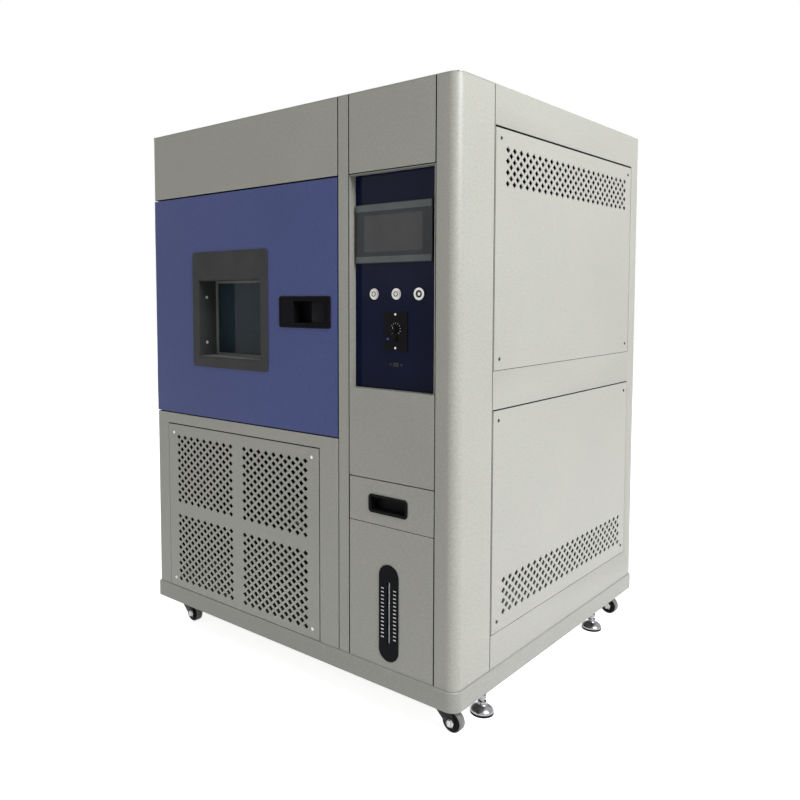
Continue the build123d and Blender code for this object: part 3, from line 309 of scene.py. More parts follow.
inkBlack, sootBlack = (0.010, 0.010, 0.011), (0.008, 0.008, 0.009)
finishes = {
    "casingPaint": powderCoat("warm grey casing paint", (0.372, 0.370, 0.318), (0.345, 0.343, 0.296)),
    # painted shade: the casing's warm grey, made darker for the plinth
    "plinthShadedPaint": powderCoat("warm grey casing paint shaded for the plinth", (0.315, 0.313, 0.276), (0.292, 0.290, 0.256)),
    "ventPaint": powderCoat("warm grey vent panel paint", (0.374, 0.372, 0.320), (0.348, 0.346, 0.300)),
    "doorPaint": powderCoat("slate blue door paint", (0.074, 0.095, 0.262), (0.064, 0.084, 0.236),
                            0.40, 520, 0.2, 0.24),
    # painted shade: near-black colour for inside faces and joints, which are painted sheet lying in shade
    "paintedShade": powderCoat("painted shade on inside faces", inkBlack, sootBlack, 0.7, gloss=0.08),
    "motorPaint": powderCoat("dark motor paint", (0.050, 0.053, 0.056), (0.040, 0.042, 0.046), 0.5),
    "unitMetal": powderCoat("black machine paint", (0.014, 0.014, 0.015), inkBlack, 0.45),
    "generatorPaint": powderCoat("grey generator paint", (0.18, 0.19, 0.20), (0.15, 0.16, 0.17), 0.45),
    "casterBlack": powderCoat("black caster steel", inkBlack, sootBlack, 0.34, 900, 0.1, 0.2),
    "stainless": brushedSteel("brushed stainless sheet", (0.58, 0.58, 0.57)),
    "zincPlate": platedMetal("zinc plated sheet", (0.52, 0.53, 0.55), 0.3),
    "screwSteel": platedMetal("plated screw heads", (0.72, 0.72, 0.72), 0.16),
    "footChrome": platedMetal("polished foot chrome", (0.34, 0.34, 0.355), 0.16),
    "buttonMetal": platedMetal("satin button metal", (0.56, 0.55, 0.52), 0.24),
    "bladeMetal": platedMetal("mill finish blades", (0.62, 0.63, 0.64), 0.3),
    "heaterMetal": platedMetal("heat tinted ribbon", (0.36, 0.30, 0.26), 0.35),
    "zincBolt": platedMetal("zinc bolt", (0.46, 0.46, 0.45), 0.26),
    "acrylic": mouldedPlastic("navy acrylic panel", (0.005, 0.008, 0.034), 0.12, 60, 0.01, 0.07),
    "screenHousing": mouldedPlastic("dark screen housing", (0.036, 0.039, 0.042), 0.36, 1200, 0.1, 0.2),
    "screenBand": mouldedPlastic("grey screen bands", (0.098, 0.112, 0.110), 0.40, 1200, 0.1, 0.3),
    "screenGlass": mouldedPlastic("unlit screen", (0.052, 0.051, 0.054), 0.16, 400, 0.01, 0.25),
    "buttonDark": mouldedPlastic("dark button centre", (0.035, 0.035, 0.035), 0.4, gloss=0.2),
    "thermostatBlack": mouldedPlastic("black thermostat plate", inkBlack, 0.42, gloss=0.04),
    "knobBlack": mouldedPlastic("black knob", sootBlack, 0.3, gloss=0.04),
    "markWhite": mouldedPlastic("white printed marks", (0.70, 0.70, 0.70), 0.5),
    "markBlue": mouldedPlastic("blue printed mark", (0.03, 0.06, 0.50), 0.5),
    "windowFrame": mouldedPlastic("charcoal window frame", (0.046, 0.047, 0.045), 0.44, 1000, 0.25, 0.14),
    "glassBead": mouldedPlastic("glass bead", (0.20, 0.21, 0.19), 0.5, 1000, 0.1, 0.3),
    "silicone": mouldedPlastic("grey silicone", (0.16, 0.16, 0.16), 0.6, 300, 0.05),
    "latchBlack": mouldedPlastic("black latch", (0.009, 0.009, 0.011), 0.40, 1100, 0.12, 0.03),
    "pullBlack": mouldedPlastic("black drawer pull", inkBlack, 0.36, 1100, 0.12, 0.04),
    "gaugeBlack": mouldedPlastic("black gauge plate", (0.007, 0.008, 0.010), 0.22, 700, 0.04, 0.04),
    "tankPlastic": mouldedPlastic("milky tank plastic", (0.66, 0.68, 0.68), 0.45, 200, 0.05),
    "glandBlack": mouldedPlastic("black gland", inkBlack, 0.5),
    "footRubber": mouldedPlastic("black foot rubber", (0.010, 0.010, 0.010), 0.7, 800, 0.2, 0.04),
    "wheelGrey": mouldedPlastic("grey wheel tread", (0.17, 0.165, 0.155), 0.5, 700, 0.15),
    "wheelBlack": mouldedPlastic("black wheel", inkBlack, 0.36, 700, 0.1, 0.04),
    "pane": clearGlass("window pane", (0.085, 0.135, 0.165), 0.02, 0.72, 1.22),
    "gaugeTube": clearGlass("gauge tube", (0.86, 0.90, 0.90), 0.05, 0.6),
}
print("materials ready:", len(finishes))

corners = ("front_right", "front_left", "rear_right", "rear_left")
nodesByFinish = {
    "plinthShadedPaint": ["base_frame"],
    "casingPaint": ["casing_panels", "top_panels", "upright_strip", "corner_post", "right_side_frame",
                    "front_lower_frame", "control_surround", "low_front_panel", "drawer_front"],
    "ventPaint": ["side_vent_panels", "front_vent_panel"],
    "doorPaint": ["door_shell"],
    "stainless": ["door_frame", "door_liner", "chamber_liner", "duct_panel", "specimen_carousel"],
    "zincPlate": ["drawer_housing", "drawer_tray", "hinge_straps", "hinge_leaves"],
    "screwSteel": ["panel_screws"],
    "acrylic": ["control_panel"],
    "screenHousing": ["touch_screen"],
    "buttonMetal": ["panel_fittings", "power_button", "run_button"],
    "thermostatBlack": ["thermostat_plate"],
    "knobBlack": ["thermostat_knob", "thermostat_reset"],
    "gaugeBlack": ["gauge_plate"],
    "gaugeTube": ["gauge_tube"],
    "windowFrame": ["window_frame"],
    "pane": ["window_panes"],
    "silicone": ["door_gasket"],
    "latchBlack": ["latch_body", "latch_paddle"],
    "pullBlack": ["drawer_pull"],
    "motorPaint": ["drive_motors"],
    "heaterMetal": ["heater"],
    "bladeMetal": ["circulation_fan", "condenser_fan"],
    "unitMetal": ["condensing_unit"],
    "generatorPaint": ["ozone_generator"],
    "tankPlastic": ["water_tank"],
    "glandBlack": ["cable_gland"],
    "footChrome": ["levelling_foot_" + corner for corner in corners],
    "casterBlack": ["caster_plates"] + ["caster_fork_" + corner for corner in corners],
    "wheelBlack": ["caster_wheel_" + corner for corner in corners],
}
nodeFinish = {nodeName: finish for finish, nodeNames in nodesByFinish.items() for nodeName in nodeNames}
for nodeName, finish in nodeFinish.items():
    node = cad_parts[nodeName]
    for materialSlot in node.material_slots:
        materialSlot.material = finishes[finish]
    if not node.material_slots:
        node.data.materials.append(finishes[finish])
print("frame nodes dressed:", len(nodeFinish))


# Geometry node trees

def newTree(name, inputs):
    tree = bpy.data.node_groups.new(name, "GeometryNodeTree")
    placing = (("Turn", "Rotation"), ("Place", "Vector"), ("Material", "Material"))
    for label, kind in (("Geometry", "Geometry"), *inputs, *placing):
        tree.interface.new_socket(label, in_out="INPUT", socket_type="NodeSocket" + kind)
    tree.interface.new_socket("Geometry", in_out="OUTPUT", socket_type="NodeSocketGeometry")
    return tree, tree.nodes.new("NodeGroupInput").outputs


def mathStep(tree, operation, first, second):
    node = tree.nodes.new("ShaderNodeMath")
    node.operation = operation
    for socket, value in zip(node.inputs, (first, second)):
        if isinstance(value, (int, float)):
            socket.default_value = value
        else:
            tree.links.new(value, socket)
    return node.outputs[0]


def spanOf(tree, count, step, less=1):
    # distance from the first to the last of several copies
    return mathStep(tree, "MULTIPLY", mathStep(tree, "SUBTRACT", count, less), step)


def gridPoints(tree, columns, rows, width, height):
    grid = tree.nodes.new("GeometryNodeMeshGrid")
    tree.links.new(width, grid.inputs["Size X"])
    tree.links.new(height, grid.inputs["Size Y"])
    tree.links.new(columns, grid.inputs["Vertices X"])
    tree.links.new(rows, grid.inputs["Vertices Y"])
    return grid.outputs["Mesh"]


def spreadOver(tree, points, instance):
    spread = tree.nodes.new("GeometryNodeInstanceOnPoints")
    tree.links.new(points, spread.inputs["Points"])
    tree.links.new(instance, spread.inputs["Instance"])
    return spread


def turnAndMove(tree, geometry, given):
    move = tree.nodes.new("GeometryNodeTransform")
    tree.links.new(geometry, move.inputs["Geometry"])
    tree.links.new(given["Turn"], move.inputs["Rotation"])
    tree.links.new(given["Place"], move.inputs["Translation"])
    return move.outputs["Geometry"]


def finishTree(tree, geometry, given):
    real = tree.nodes.new("GeometryNodeRealizeInstances")
    paint = tree.nodes.new("GeometryNodeSetMaterial")
    end = tree.nodes.new("NodeGroupOutput")
    tree.links.new(geometry, real.inputs[0])
    tree.links.new(real.outputs[0], paint.inputs["Geometry"])
    tree.links.new(given["Material"], paint.inputs["Material"])
    tree.links.new(paint.outputs["Geometry"], end.inputs[0])
    return tree


def buildPerforationTree():
    tree, given = newTree("diamond perforation", (
        ("Columns", "Int"), ("Rows", "Int"), ("Pitch Across", "Float"), ("Pitch Up", "Float"),
        ("Half Diagonal", "Float"), ("Height Share", "Float"), ("Cut Depth", "Float"),
        ("Fields Across", "Int"), ("Fields Up", "Int"),
        ("Field Step Across", "Float"), ("Field Step Up", "Float")))
    join = tree.nodes.new("GeometryNodeJoinGeometry")
    for less in (1, 2):
        # the second grid has one column and one row fewer, so it falls in the gaps of the first
        width = spanOf(tree, given["Columns"], given["Pitch Across"], less)
        height = spanOf(tree, given["Rows"], given["Pitch Up"], less)
        columns = mathStep(tree, "SUBTRACT", given["Columns"], less - 1)
        rows = mathStep(tree, "SUBTRACT", given["Rows"], less - 1)
        tree.links.new(gridPoints(tree, columns, rows, width, height), join.inputs[0])
    cutter = addNode(tree, "GeometryNodeMeshCylinder", inputs={"Vertices": 4})  # four sides make the diamond
    tree.links.new(given["Cut Depth"], cutter.inputs["Depth"])
    tree.links.new(given["Half Diagonal"], cutter.inputs["Radius"])
    oneField = spreadOver(tree, join.outputs[0], cutter.outputs["Mesh"])
    flatter = addNode(tree, "ShaderNodeCombineXYZ", inputs={"X": 1.0, "Z": 1.0})
    tree.links.new(given["Height Share"], flatter.inputs["Y"])
    tree.links.new(flatter.outputs[0], oneField.inputs["Scale"])
    stepsAcross = spanOf(tree, given["Fields Across"], given["Field Step Across"])
    stepsUp = spanOf(tree, given["Fields Up"], given["Field Step Up"])
    fieldCentres = gridPoints(tree, given["Fields Across"], given["Fields Up"], stepsAcross, stepsUp)
    fields = spreadOver(tree, fieldCentres, oneField.outputs["Instances"])
    real = tree.nodes.new("GeometryNodeRealizeInstances")
    tree.links.new(fields.outputs["Instances"], real.inputs[0])
    cut = addNode(tree, "GeometryNodeMeshBoolean", {"operation": "DIFFERENCE", "solver": "EXACT"})
    tree.links.new(given["Geometry"], cut.inputs["Mesh 1"])
    tree.links.new(turnAndMove(tree, real.outputs[0], given), cut.inputs["Mesh 2"])
    return finishTree(tree, cut.outputs["Mesh"], given)


def buildGridTree():
    tree, given = newTree("pieces in rows", (
        ("Columns", "Int"), ("Rows", "Int"), ("Width", "Float"), ("Height", "Float")))
    points = gridPoints(tree, given["Columns"], given["Rows"], given["Width"], given["Height"])
    spread = spreadOver(tree, points, given["Geometry"])
    return finishTree(tree, turnAndMove(tree, spread.outputs["Instances"], given), given)


def buildRingTree():
    tree, given = newTree("pieces round a centre", (
        ("Count", "Int"), ("First Angle", "Float"), ("Sweep", "Float")))
    points = tree.nodes.new("GeometryNodePoints")
    tree.links.new(given["Count"], points.inputs["Count"])
    spread = spreadOver(tree, points.outputs[0], given["Geometry"])
    index = tree.nodes.new("GeometryNodeInputIndex").outputs[0]
    share = mathStep(tree, "DIVIDE", index, mathStep(tree, "SUBTRACT", given["Count"], 1))
    angle = mathStep(tree, "ADD", given["First Angle"], mathStep(tree, "MULTIPLY", share, given["Sweep"]))
    turn = tree.nodes.new("ShaderNodeCombineXYZ")
    tree.links.new(angle, turn.inputs["Z"])
    tree.links.new(turn.outputs[0], spread.inputs["Rotation"])
    return finishTree(tree, turnAndMove(tree, spread.outputs["Instances"], given), given)


def runTree(name, tree, bm, finish, values, nodeName, body="cabinet"):
    # the tree works on bm; its result becomes a plain mesh and the modifier goes
    source = bpy.data.meshes.new(name + " source")
    bm.to_mesh(source)
    bm.free()
    holder = intoScene(name + " source", source)
    modifier = holder.modifiers.new(name, "NODES")
    modifier.node_group = tree
    given = {**values, "Material": finishes[finish]}
    for item in tree.interface.items_tree:
        if item.in_out == "INPUT" and item.name in given:
            modifier[item.identifier] = given[item.name]
    bpy.context.view_layer.update()
    mesh = bpy.data.meshes.new_from_object(holder.evaluated_get(bpy.context.evaluated_depsgraph_get()))
    holder.modifiers.remove(modifier)
    bpy.data.objects.remove(holder)
    bpy.data.meshes.remove(source)
    mesh.name = name
    return dressPiece(name, mesh, [], body, nodeName)


perforationTree = buildPerforationTree()
gridTree = buildGridTree()
ringTree = buildRingTree()
print("node trees ready")


# Copies of the frame's own parts, with rounded edges and a second finish on some faces. The second is the
# real one's, or else painted shade: a near-black finish on inside faces and joint faces, which are really
# painted like the casing but lie in shade. It keeps the bright studio out of the joints and vents

edgeOf = {"top_panels": 0.7, "upright_strip": 0.7, "low_front_panel": 0.7, "corner_post": 0.7,
          "drawer_front": 0.7, "front_lower_frame": 0.7, "base_frame": 0.8, "door_shell": 1.0,
          "latch_paddle": 0.8, "drawer_pull": 1.0, "touch_screen": 0.8, "power_button": 0.5,
          "run_button": 0.5, "thermostat_reset": 0.4, "gauge_plate": 0.6}
bodyOf = {"door_shell": "door", "drawer_front": "drawer", "drawer_pull": "drawer",
          "latch_paddle": "latch_paddle", "power_button": "power_button", "run_button": "run_button",
          "thermostat_reset": "thermostat_reset"}
seams = {"x": (731.0, 765.0, 1011.0), "y": (150.5,), "z": (385.0, 494.0, 1213.0),
         "opened": 0.8, "reach": 1.6, "frontDepth": 60}
merging = {"distance": 0.00001, "flatness": 0.02, "cornerSpread": 3.1}


def openSeams(bm):
    # edges that face a joint line between two sheets draw back, so that the line is seen as a dark one
    for vert in bm.verts:
        place = inCabinet(vert.co)
        for i, axis in enumerate("xyz"):
            if axis != "y" and place.y > seams["frontDepth"]:
                continue
            for line in seams[axis]:
                if abs(place[i] - line) < seams["reach"]:
                    vert.co[i] += math.copysign(seams["opened"], place[i] - line) / 1000


def finishNode(nodeName, second=None, isSecond=None, opened=False):
    # isSecond is asked for each face, with its centre in cabinet millimetres and its normal
    bm = bmesh.new()
    bm.from_mesh(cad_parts[nodeName].data)
    bmesh.ops.remove_doubles(bm, verts=bm.verts[:], dist=merging["distance"])
    bmesh.ops.join_triangles(bm, faces=bm.faces[:], angle_face_threshold=merging["flatness"],
                             angle_shape_threshold=merging["cornerSpread"])
    if opened:
        openSeams(bm)
    bm.normal_update()
    for face in bm.faces:
        chosen = isSecond and isSecond(inCabinet(face.calc_center_median()), face.normal)
        face.material_index = 1 if chosen else 0
    mesh = bpy.data.meshes.new(nodeName + "_finished")
    bm.to_mesh(mesh)
    bm.free()
    materials = [finishes[finish] for finish in (nodeFinish[nodeName], second) if finish]
    piece = dressPiece(nodeName + "_finished", mesh, materials, bodyOf.get(nodeName, "cabinet"),
                       nodeName)
    if nodeName in edgeOf:
        roundEdges(piece, edgeOf[nodeName])


casing = {"skin": 1.5, "foldDepths": (1.2, 60), "foldRight": 1040, "facing": 0.9, "frameDepths": (1.0, 58),
          "sideSkin": 1066.5, "insideX": (1.5, 1067), "insideY": (1.5, 1011), "insideTop": 1399}


def behindSkin(place, normal):
    return place.y > casing["skin"]


def insideFold(place, normal):
    return (between(casing["foldDepths"], place.y) and place.x < casing["foldRight"]
            and abs(normal.y) > casing["facing"])


def insideFrame(place, normal):
    return between(casing["frameDepths"], place.y)


def behindSideSkin(place, normal):
    return place.x < casing["sideSkin"]


def insideShell(place, normal):
    return (between(casing["insideX"], place.x) and between(casing["insideY"], place.y)
            and place.z < casing["insideTop"])


# faces behind the skin, in the folds and inside the shell get painted shade
for nodeName in ("top_panels", "upright_strip", "low_front_panel"):
    finishNode(nodeName, "paintedShade", behindSkin, opened=True)
for nodeName in ("corner_post", "drawer_front"):
    finishNode(nodeName, "paintedShade", insideFold, opened=True)
finishNode("control_surround", opened=True)
finishNode("front_lower_frame", "paintedShade", insideFrame, opened=True)
finishNode("right_side_frame", "paintedShade", behindSideSkin, opened=True)
finishNode("casing_panels", "paintedShade", insideShell)
for nodeName in ("base_frame", "door_shell", "latch_paddle", "drawer_pull"):
    finishNode(nodeName)

touchScreen = {"glassX": (799, 965), "glassZ": (1029, 1113), "glassBehind": 16.3, "facing": -0.5}
fittings = {"buzzer": (955, 930), "darkRadius": 10, "darkBehind": 18.4, "socketTop": 800, "plateFace": 20.4}


def onGlass(place, normal):
    return (place.y > touchScreen["glassBehind"] and between(touchScreen["glassX"], place.x)
            and between(touchScreen["glassZ"], place.z) and normal.y < touchScreen["facing"])


def onDarkFitting(place, normal):
    fromBuzzer = (Vector((place.x, place.z)) - Vector(fittings["buzzer"])).length
    inBuzzer = place.y > fittings["darkBehind"] and fromBuzzer < fittings["darkRadius"]
    return place.z < fittings["socketTop"] or inBuzzer


def beforePlate(place, normal):
    return place.y < fittings["plateFace"]


finishNode("touch_screen", "screenGlass", onGlass)
finishNode("power_button")
finishNode("run_button")
finishNode("panel_fittings", "buttonDark", onDarkFitting)
finishNode("thermostat_plate", "screwSteel", beforePlate)
finishNode("thermostat_reset")
finishNode("gauge_plate")
print("casing and fittings finished")


# Casters and levelling feet

caster = {"left": 66, "right": 1002, "front": 56, "rear": 956, "trail": 28, "axleZ": -48,
          "treadRadius": 22, "treadFacing": 0.8, "nutReach": 9, "nutOut": 14.4}
foot = {"left": 32, "right": 1036, "front": 172, "rear": 808, "sides": 48, "nutSides": 6, "smooth": 30,
        "pad": [(0, -75), (27.2, -75), (28, -74), (28, -70.6), (27, -70), (0, -70)],
        "cup": [(0, -70), (26.6, -70), (27.8, -69), (28, -66.4), (27.3, -64.2), (24.6, -61), (20.4, -57.6),
                (15.6, -54.6), (12.4, -52.6), (11, -50.6), (10.4, -45), (6.2, -44.2), (6, -44), (6, 30),
                (5, 31), (0, 31)],
        "nut": [(6.2, -37), (10.2, -37), (11.4, -36), (11.4, -30), (10.2, -29), (6.2, -29), (6.2, -37)]}


def cornerOf(sizes, corner):
    depth, side = corner.split("_")
    return sizes[side], sizes[depth]


def finishCaster(corner):
    x, y = cornerOf(caster, corner)
    axle = Vector((x + caster["trail"], caster["axleZ"]))

    def onTread(place, normal):
        fromAxle = (Vector((place.x, place.z)) - axle).length
        return fromAxle > caster["treadRadius"] and abs(normal.y) < caster["treadFacing"]

    def onAxleNut(place, normal):
        fromAxle = (Vector((place.x, place.z)) - axle).length
        return fromAxle < caster["nutReach"] and abs(place.y - y) > caster["nutOut"]

    for nodeName, slotName, second, isSecond in (
            ("caster_wheel_" + corner, "wheel_plastic", "wheelGrey", onTread),
            ("caster_fork_" + corner, "caster_steel", "zincBolt", onAxleNut)):
        bodyOf[nodeName] = nodeName
        finishNode(nodeName, second, isSecond)


def makeFoot(corner):
    name = "levelling_foot_" + corner
    for part, finish, sides in (("pad", "footRubber", foot["sides"]), ("cup", "footChrome", foot["sides"]),
                                ("nut", "footChrome", foot["nutSides"])):
        bm = bmesh.new()
        addTurned(bm, (*cornerOf(foot, corner), 0), "z", foot[part], sides)
        makePiece(name + "_" + part, bm, finish, name, name, foot["smooth"])


for corner in corners:
    finishCaster(corner)
for corner in corners:
    makeFoot(corner)
print("casters and feet finished")


# Painted shade: a near-black strip behind the joint between the control recess and the corner post, where the
# light of the side vents would come through. The real cabinet has none that shows

shadeStrip = {"x": (1006, 1016), "y": (2.3, 3.2), "z": (495, 706)}

bm = bmesh.new()
addBox(bm, shadeStrip["x"], shadeStrip["y"], shadeStrip["z"])
makePiece("joint_painted_shade_strip", bm, "paintedShade", "cabinet", "control_surround")


# Moulded window frame: boxes are (left, right, low, high)

window = {"outer": (178, 487, 725, 1051), "sight": (206, 459, 755, 970), "corner": 9, "wallCorner": 5,
          "sightCorner": 3, "proud": 2.6, "sunk": 0.2, "wall": 3, "lap": 0.4, "lip": 0.8, "depth": 66,
          "edge": 0.9, "bead": 7, "beadDepth": 6, "beadGap": 0.3, "beadEdge": 0.8}
sill = {"count": 9, "pitch": 6.2, "first": 4, "inset": 2, "wide": 3.2, "sunk": 0.5, "high": 1.6, "edge": 0.5}
windowScrew = {"depth": 26, "levels": (923, 793), "sides": 24,
               "profile": [(0, -0.3), (4.2, -0.3), (4.2, 0.9), (2.6, 1.9), (0, 2.1)]}


def makeWindowFrame():
    sight, front = window["sight"], -window["proud"]
    bm = bmesh.new()
    addRim(bm, window["outer"], window["corner"], grown(sight, window["wall"]), window["wallCorner"],
           (front, window["sunk"]))
    addRim(bm, grown(sight, window["wall"] + window["lap"]), window["wallCorner"],
           sight, window["sightCorner"], (front + window["lip"], window["depth"]))
    frameShell = makePiece("window_frame_moulding", bm, "windowFrame", "door", "window_frame")
    roundEdges(frameShell, window["edge"])
    bm = bmesh.new()
    addRim(bm, sight, window["sightCorner"], grown(sight, -window["bead"]), window["sightCorner"],
           (window["depth"] - window["beadDepth"], window["depth"] - window["beadGap"]))
    glassBead = makePiece("window_glass_bead", bm, "glassBead", "door", "window_frame")
    roundEdges(glassBead, window["beadEdge"])


def makeSillRibs():
    sightLeft, sightRight, low, _ = window["sight"]
    left, right = sightLeft + sill["inset"], sightRight - sill["inset"]
    thick, span = sill["sunk"] + sill["high"], (sill["count"] - 1) * sill["pitch"]
    middle = at((left + right) / 2, sill["first"] + (span + sill["wide"]) / 2, low - sill["sunk"] + thick / 2)
    rib = startBox(((right - left) / 1000, sill["wide"] / 1000, thick / 1000))
    sillRibs = runTree("window_sill_ribs", gridTree, rib, "silicone", {
        "Columns": 1, "Rows": sill["count"], "Width": 0.0, "Height": span / 1000, "Place": middle},
        "window_frame", "door")
    roundEdges(sillRibs, sill["edge"])


def makeWindowScrews():
    bm = bmesh.new()
    for z in windowScrew["levels"]:
        addTurned(bm, (window["sight"][0], windowScrew["depth"], z), "x", windowScrew["profile"],
                  windowScrew["sides"])
    makePiece("window_screws", bm, "markWhite", "door", "window_frame")


makeWindowFrame()
makeSillRibs()
makeWindowScrews()
print("window frame made")


# Latch housing: an outer rim, a plate, a raised rim round the pocket and the pocket's walls and floor

latch = {"outer": (530.5, 707, 845.5, 925.5), "corner": 6, "innerCorner": 3, "proud": 2.6, "rim": 5,
         "lap": 0.4, "plate": 0.9, "plateHole": 1, "pocket": (581, 691, 858, 913), "pocketRim": (4.5, 0.4),
         "pocketRimCorners": (4, 2.5), "pocketRimSet": (0.3, 0.2), "pocketWall": (2.2, 0.2),
         "pocketCorners": (3, 2), "depth": 34, "floor": 2, "edge": 0.5}


def makeLatchHousing():
    outer, pocket, front, plate = latch["outer"], latch["pocket"], -latch["proud"], -latch["plate"]
    bm = bmesh.new()
    addRim(bm, outer, latch["corner"], grown(outer, -latch["rim"]), latch["innerCorner"], (front, 0))
    addRim(bm, grown(outer, latch["lap"] - latch["rim"]), latch["innerCorner"],
           grown(pocket, latch["plateHole"]), latch["innerCorner"], (plate, 0))
    addRim(bm, grown(pocket, latch["pocketRim"][0]), latch["pocketRimCorners"][0],
           grown(pocket, latch["pocketRim"][1]), latch["pocketRimCorners"][1],
           (front + latch["pocketRimSet"][0], plate + latch["pocketRimSet"][1]))
    wall = grown(pocket, latch["pocketWall"][0])
    addRim(bm, wall, latch["pocketCorners"][0],
           grown(pocket, latch["pocketWall"][1]), latch["pocketCorners"][1], (plate, latch["depth"]))
    addPlate(bm, wall, latch["pocketCorners"][0], (latch["depth"], latch["depth"] + latch["floor"]))
    housing = makePiece("latch_housing", bm, "latchBlack", "door", "latch_body")
    roundEdges(housing, latch["edge"])


makeLatchHousing()
print("latch made")


# Touch screen bands, button rings, thermostat knob and marks

bands = {"left": 773.5, "right": 990, "levels": ((1003.5, 1018), (1123, 1138.5)), "corner": 2.5,
         "ys": (15.3, 16.1), "edge": 0.3}
ring = {"centres": {"power_button": 826, "run_button": 890.5}, "y": 18, "z": 930, "sides": 36,
        "profile": [(4.2, 0.1), (4.2, -0.35), (6.2, -0.35), (6.2, 0.1), (4.2, 0.1)]}
knob = {"x": 888.75, "z": 849, "front": 9.2, "back": 20.2, "ridges": 18, "ridgeReach": 7.6, "ridgeFrom": 2,
        "grip": [(0, 0), (9, 0), (9, -1.6), (7.8, -2.2), (7.2, -10.2), (6.4, -11), (0, -11)],
        "ridge": [(0, 0), (0.7, 0), (0.7, -9.8), (0, -10.1)], "ridgeSides": 8,
        "pointerWide": 0.5, "pointerY": (-0.15, 0.4), "pointerZ": (1, 6)}
thermostat = {"face": 20.4, "tickRadius": 13.5, "tick": (3.2, 0.9, 0.5), "count": 11, "first": -math.pi / 4,
              "sweep": 4.712, "lamp": (867, 20.5, 825.7), "lampSides": 24,
              "lampProfile": [(0, 0.1), (3.2, 0.1), (3.2, -1.4), (2.2, -2.2), (0, -2.4)]}


def makeScreenBands():
    bm = bmesh.new()
    for low, high in bands["levels"]:
        addPlate(bm, (bands["left"], bands["right"], low, high), bands["corner"], bands["ys"])
    screenBands = makePiece("screen_bands", bm, "screenBand", "cabinet", "touch_screen")
    roundEdges(screenBands, bands["edge"])


def makeButtonRings():
    for name, x in ring["centres"].items():
        bm = bmesh.new()
        addTurned(bm, (x, ring["y"], ring["z"]), "y", ring["profile"], ring["sides"])
        makePiece(name + "_mark", bm, "buttonDark", name, name)


def makeKnob():
    node = "thermostat_knob"
    bm = bmesh.new()
    addTurned(bm, (knob["x"], knob["back"], knob["z"]), "y", knob["grip"])
    for i in range(knob["ridges"]):
        angle = 2 * math.pi * i / knob["ridges"]
        x = knob["x"] + knob["ridgeReach"] * math.cos(angle)
        z = knob["z"] + knob["ridgeReach"] * math.sin(angle)
        addTurned(bm, (x, knob["back"] - knob["ridgeFrom"], z), "y", knob["ridge"], knob["ridgeSides"])
    makePiece("thermostat_knob_grip", bm, "knobBlack", node, node)
    bm = bmesh.new()
    addBox(bm, (knob["x"] - knob["pointerWide"], knob["x"] + knob["pointerWide"]),
           [knob["front"] + y for y in knob["pointerY"]], [knob["z"] + z for z in knob["pointerZ"]])
    makePiece("thermostat_knob_pointer", bm, "markWhite", node, node)


def makeThermostatMarks():
    tick = startBox([size / 1000 for size in thermostat["tick"]], (thermostat["tickRadius"] / 1000, 0, 0))
    runTree("thermostat_scale", ringTree, tick, "markWhite", {
        "Count": thermostat["count"], "First Angle": thermostat["first"], "Sweep": thermostat["sweep"],
        "Turn": facingFront, "Place": at(knob["x"], thermostat["face"], knob["z"])},
        "thermostat_plate")
    bm = bmesh.new()
    addTurned(bm, thermostat["lamp"], "y", thermostat["lampProfile"], thermostat["lampSides"])
    makePiece("thermostat_lamp", bm, "markBlue", "cabinet", "thermostat_plate")


makeScreenBands()
makeButtonRings()
makeKnob()
makeThermostatMarks()
print("control fittings made")


# Gauge scale and panel screws

gauge = {"x": (868.5, 904), "z": (122, 239), "face": -2, "rows": 14, "tick": (8, 2.6, 0.5)}
screw = {"radius": 4.2, "height": 1.7, "sides": 24, "sunk": 0.4, "recess": 0.4, "recessLevel": 0.35,
         "rings": ((1, 0.45), (0.72, 0.9), (0.36, 1)), "frontX": (78, 641), "frontZ": (73.5, 519),
         "sideX": 1068, "sideY": (180, 937), "sideZ": {"sideHigh": (778.5, 1283), "sideLow": (155, 635)}}


def screwHead():
    # a low domed head with a shallow recess
    bm = bmesh.new()
    sides = screw["sides"]
    radius, height = screw["radius"] / 1000, screw["height"] / 1000
    levels = [(radius, -screw["sunk"] / 1000)]
    levels += [(radius * wide, height * high) for wide, high in screw["rings"]]
    angles = [2 * math.pi * i / sides for i in range(sides)]
    rings = [[bm.verts.new((reach * math.cos(angle), reach * math.sin(angle), z)) for angle in angles]
             for reach, z in levels]
    for lower, upper in zip(rings, rings[1:]):
        joinRings(bm, lower, upper)
    bm.faces.new(rings[0][::-1])
    share, level = screw["recess"], height * screw["recessLevel"]
    recess = [bm.verts.new((vert.co.x * share, vert.co.y * share, level)) for vert in rings[-1]]
    joinRings(bm, rings[-1], recess)
    bm.faces.new(recess)
    return bm


def makeGaugeTicks():
    tick = startBox([size / 1000 for size in gauge["tick"]])
    runTree("gauge_ticks", gridTree, tick, "markWhite", {
        "Columns": 2, "Rows": gauge["rows"], "Width": (gauge["x"][1] - gauge["x"][0]) / 1000,
        "Height": (gauge["z"][1] - gauge["z"][0]) / 1000, "Turn": facingFront,
        "Place": at(sum(gauge["x"]) / 2, gauge["face"], sum(gauge["z"]) / 2)}, "gauge_plate")


def screwPanel(name, finish, across, up, turn, place):
    # one screw in each corner of a panel
    runTree(name, gridTree, screwHead(), finish, {
        "Columns": 2, "Rows": 2, "Width": (across[1] - across[0]) / 1000, "Height": (up[1] - up[0]) / 1000,
        "Turn": turn, "Place": place}, "panel_screws")


makeGaugeTicks()
screwPanel("front_panel_screws", "screwSteel", screw["frontX"], screw["frontZ"], facingFront,
           at(sum(screw["frontX"]) / 2, 0, sum(screw["frontZ"]) / 2))
for level, up in screw["sideZ"].items():
    screwPanel("panel_screws_" + level, "buttonDark", screw["sideY"], up, facingRight,
               at(screw["sideX"], sum(screw["sideY"]) / 2, sum(up) / 2))
print("scale and screws made")


# Perforated vent panels

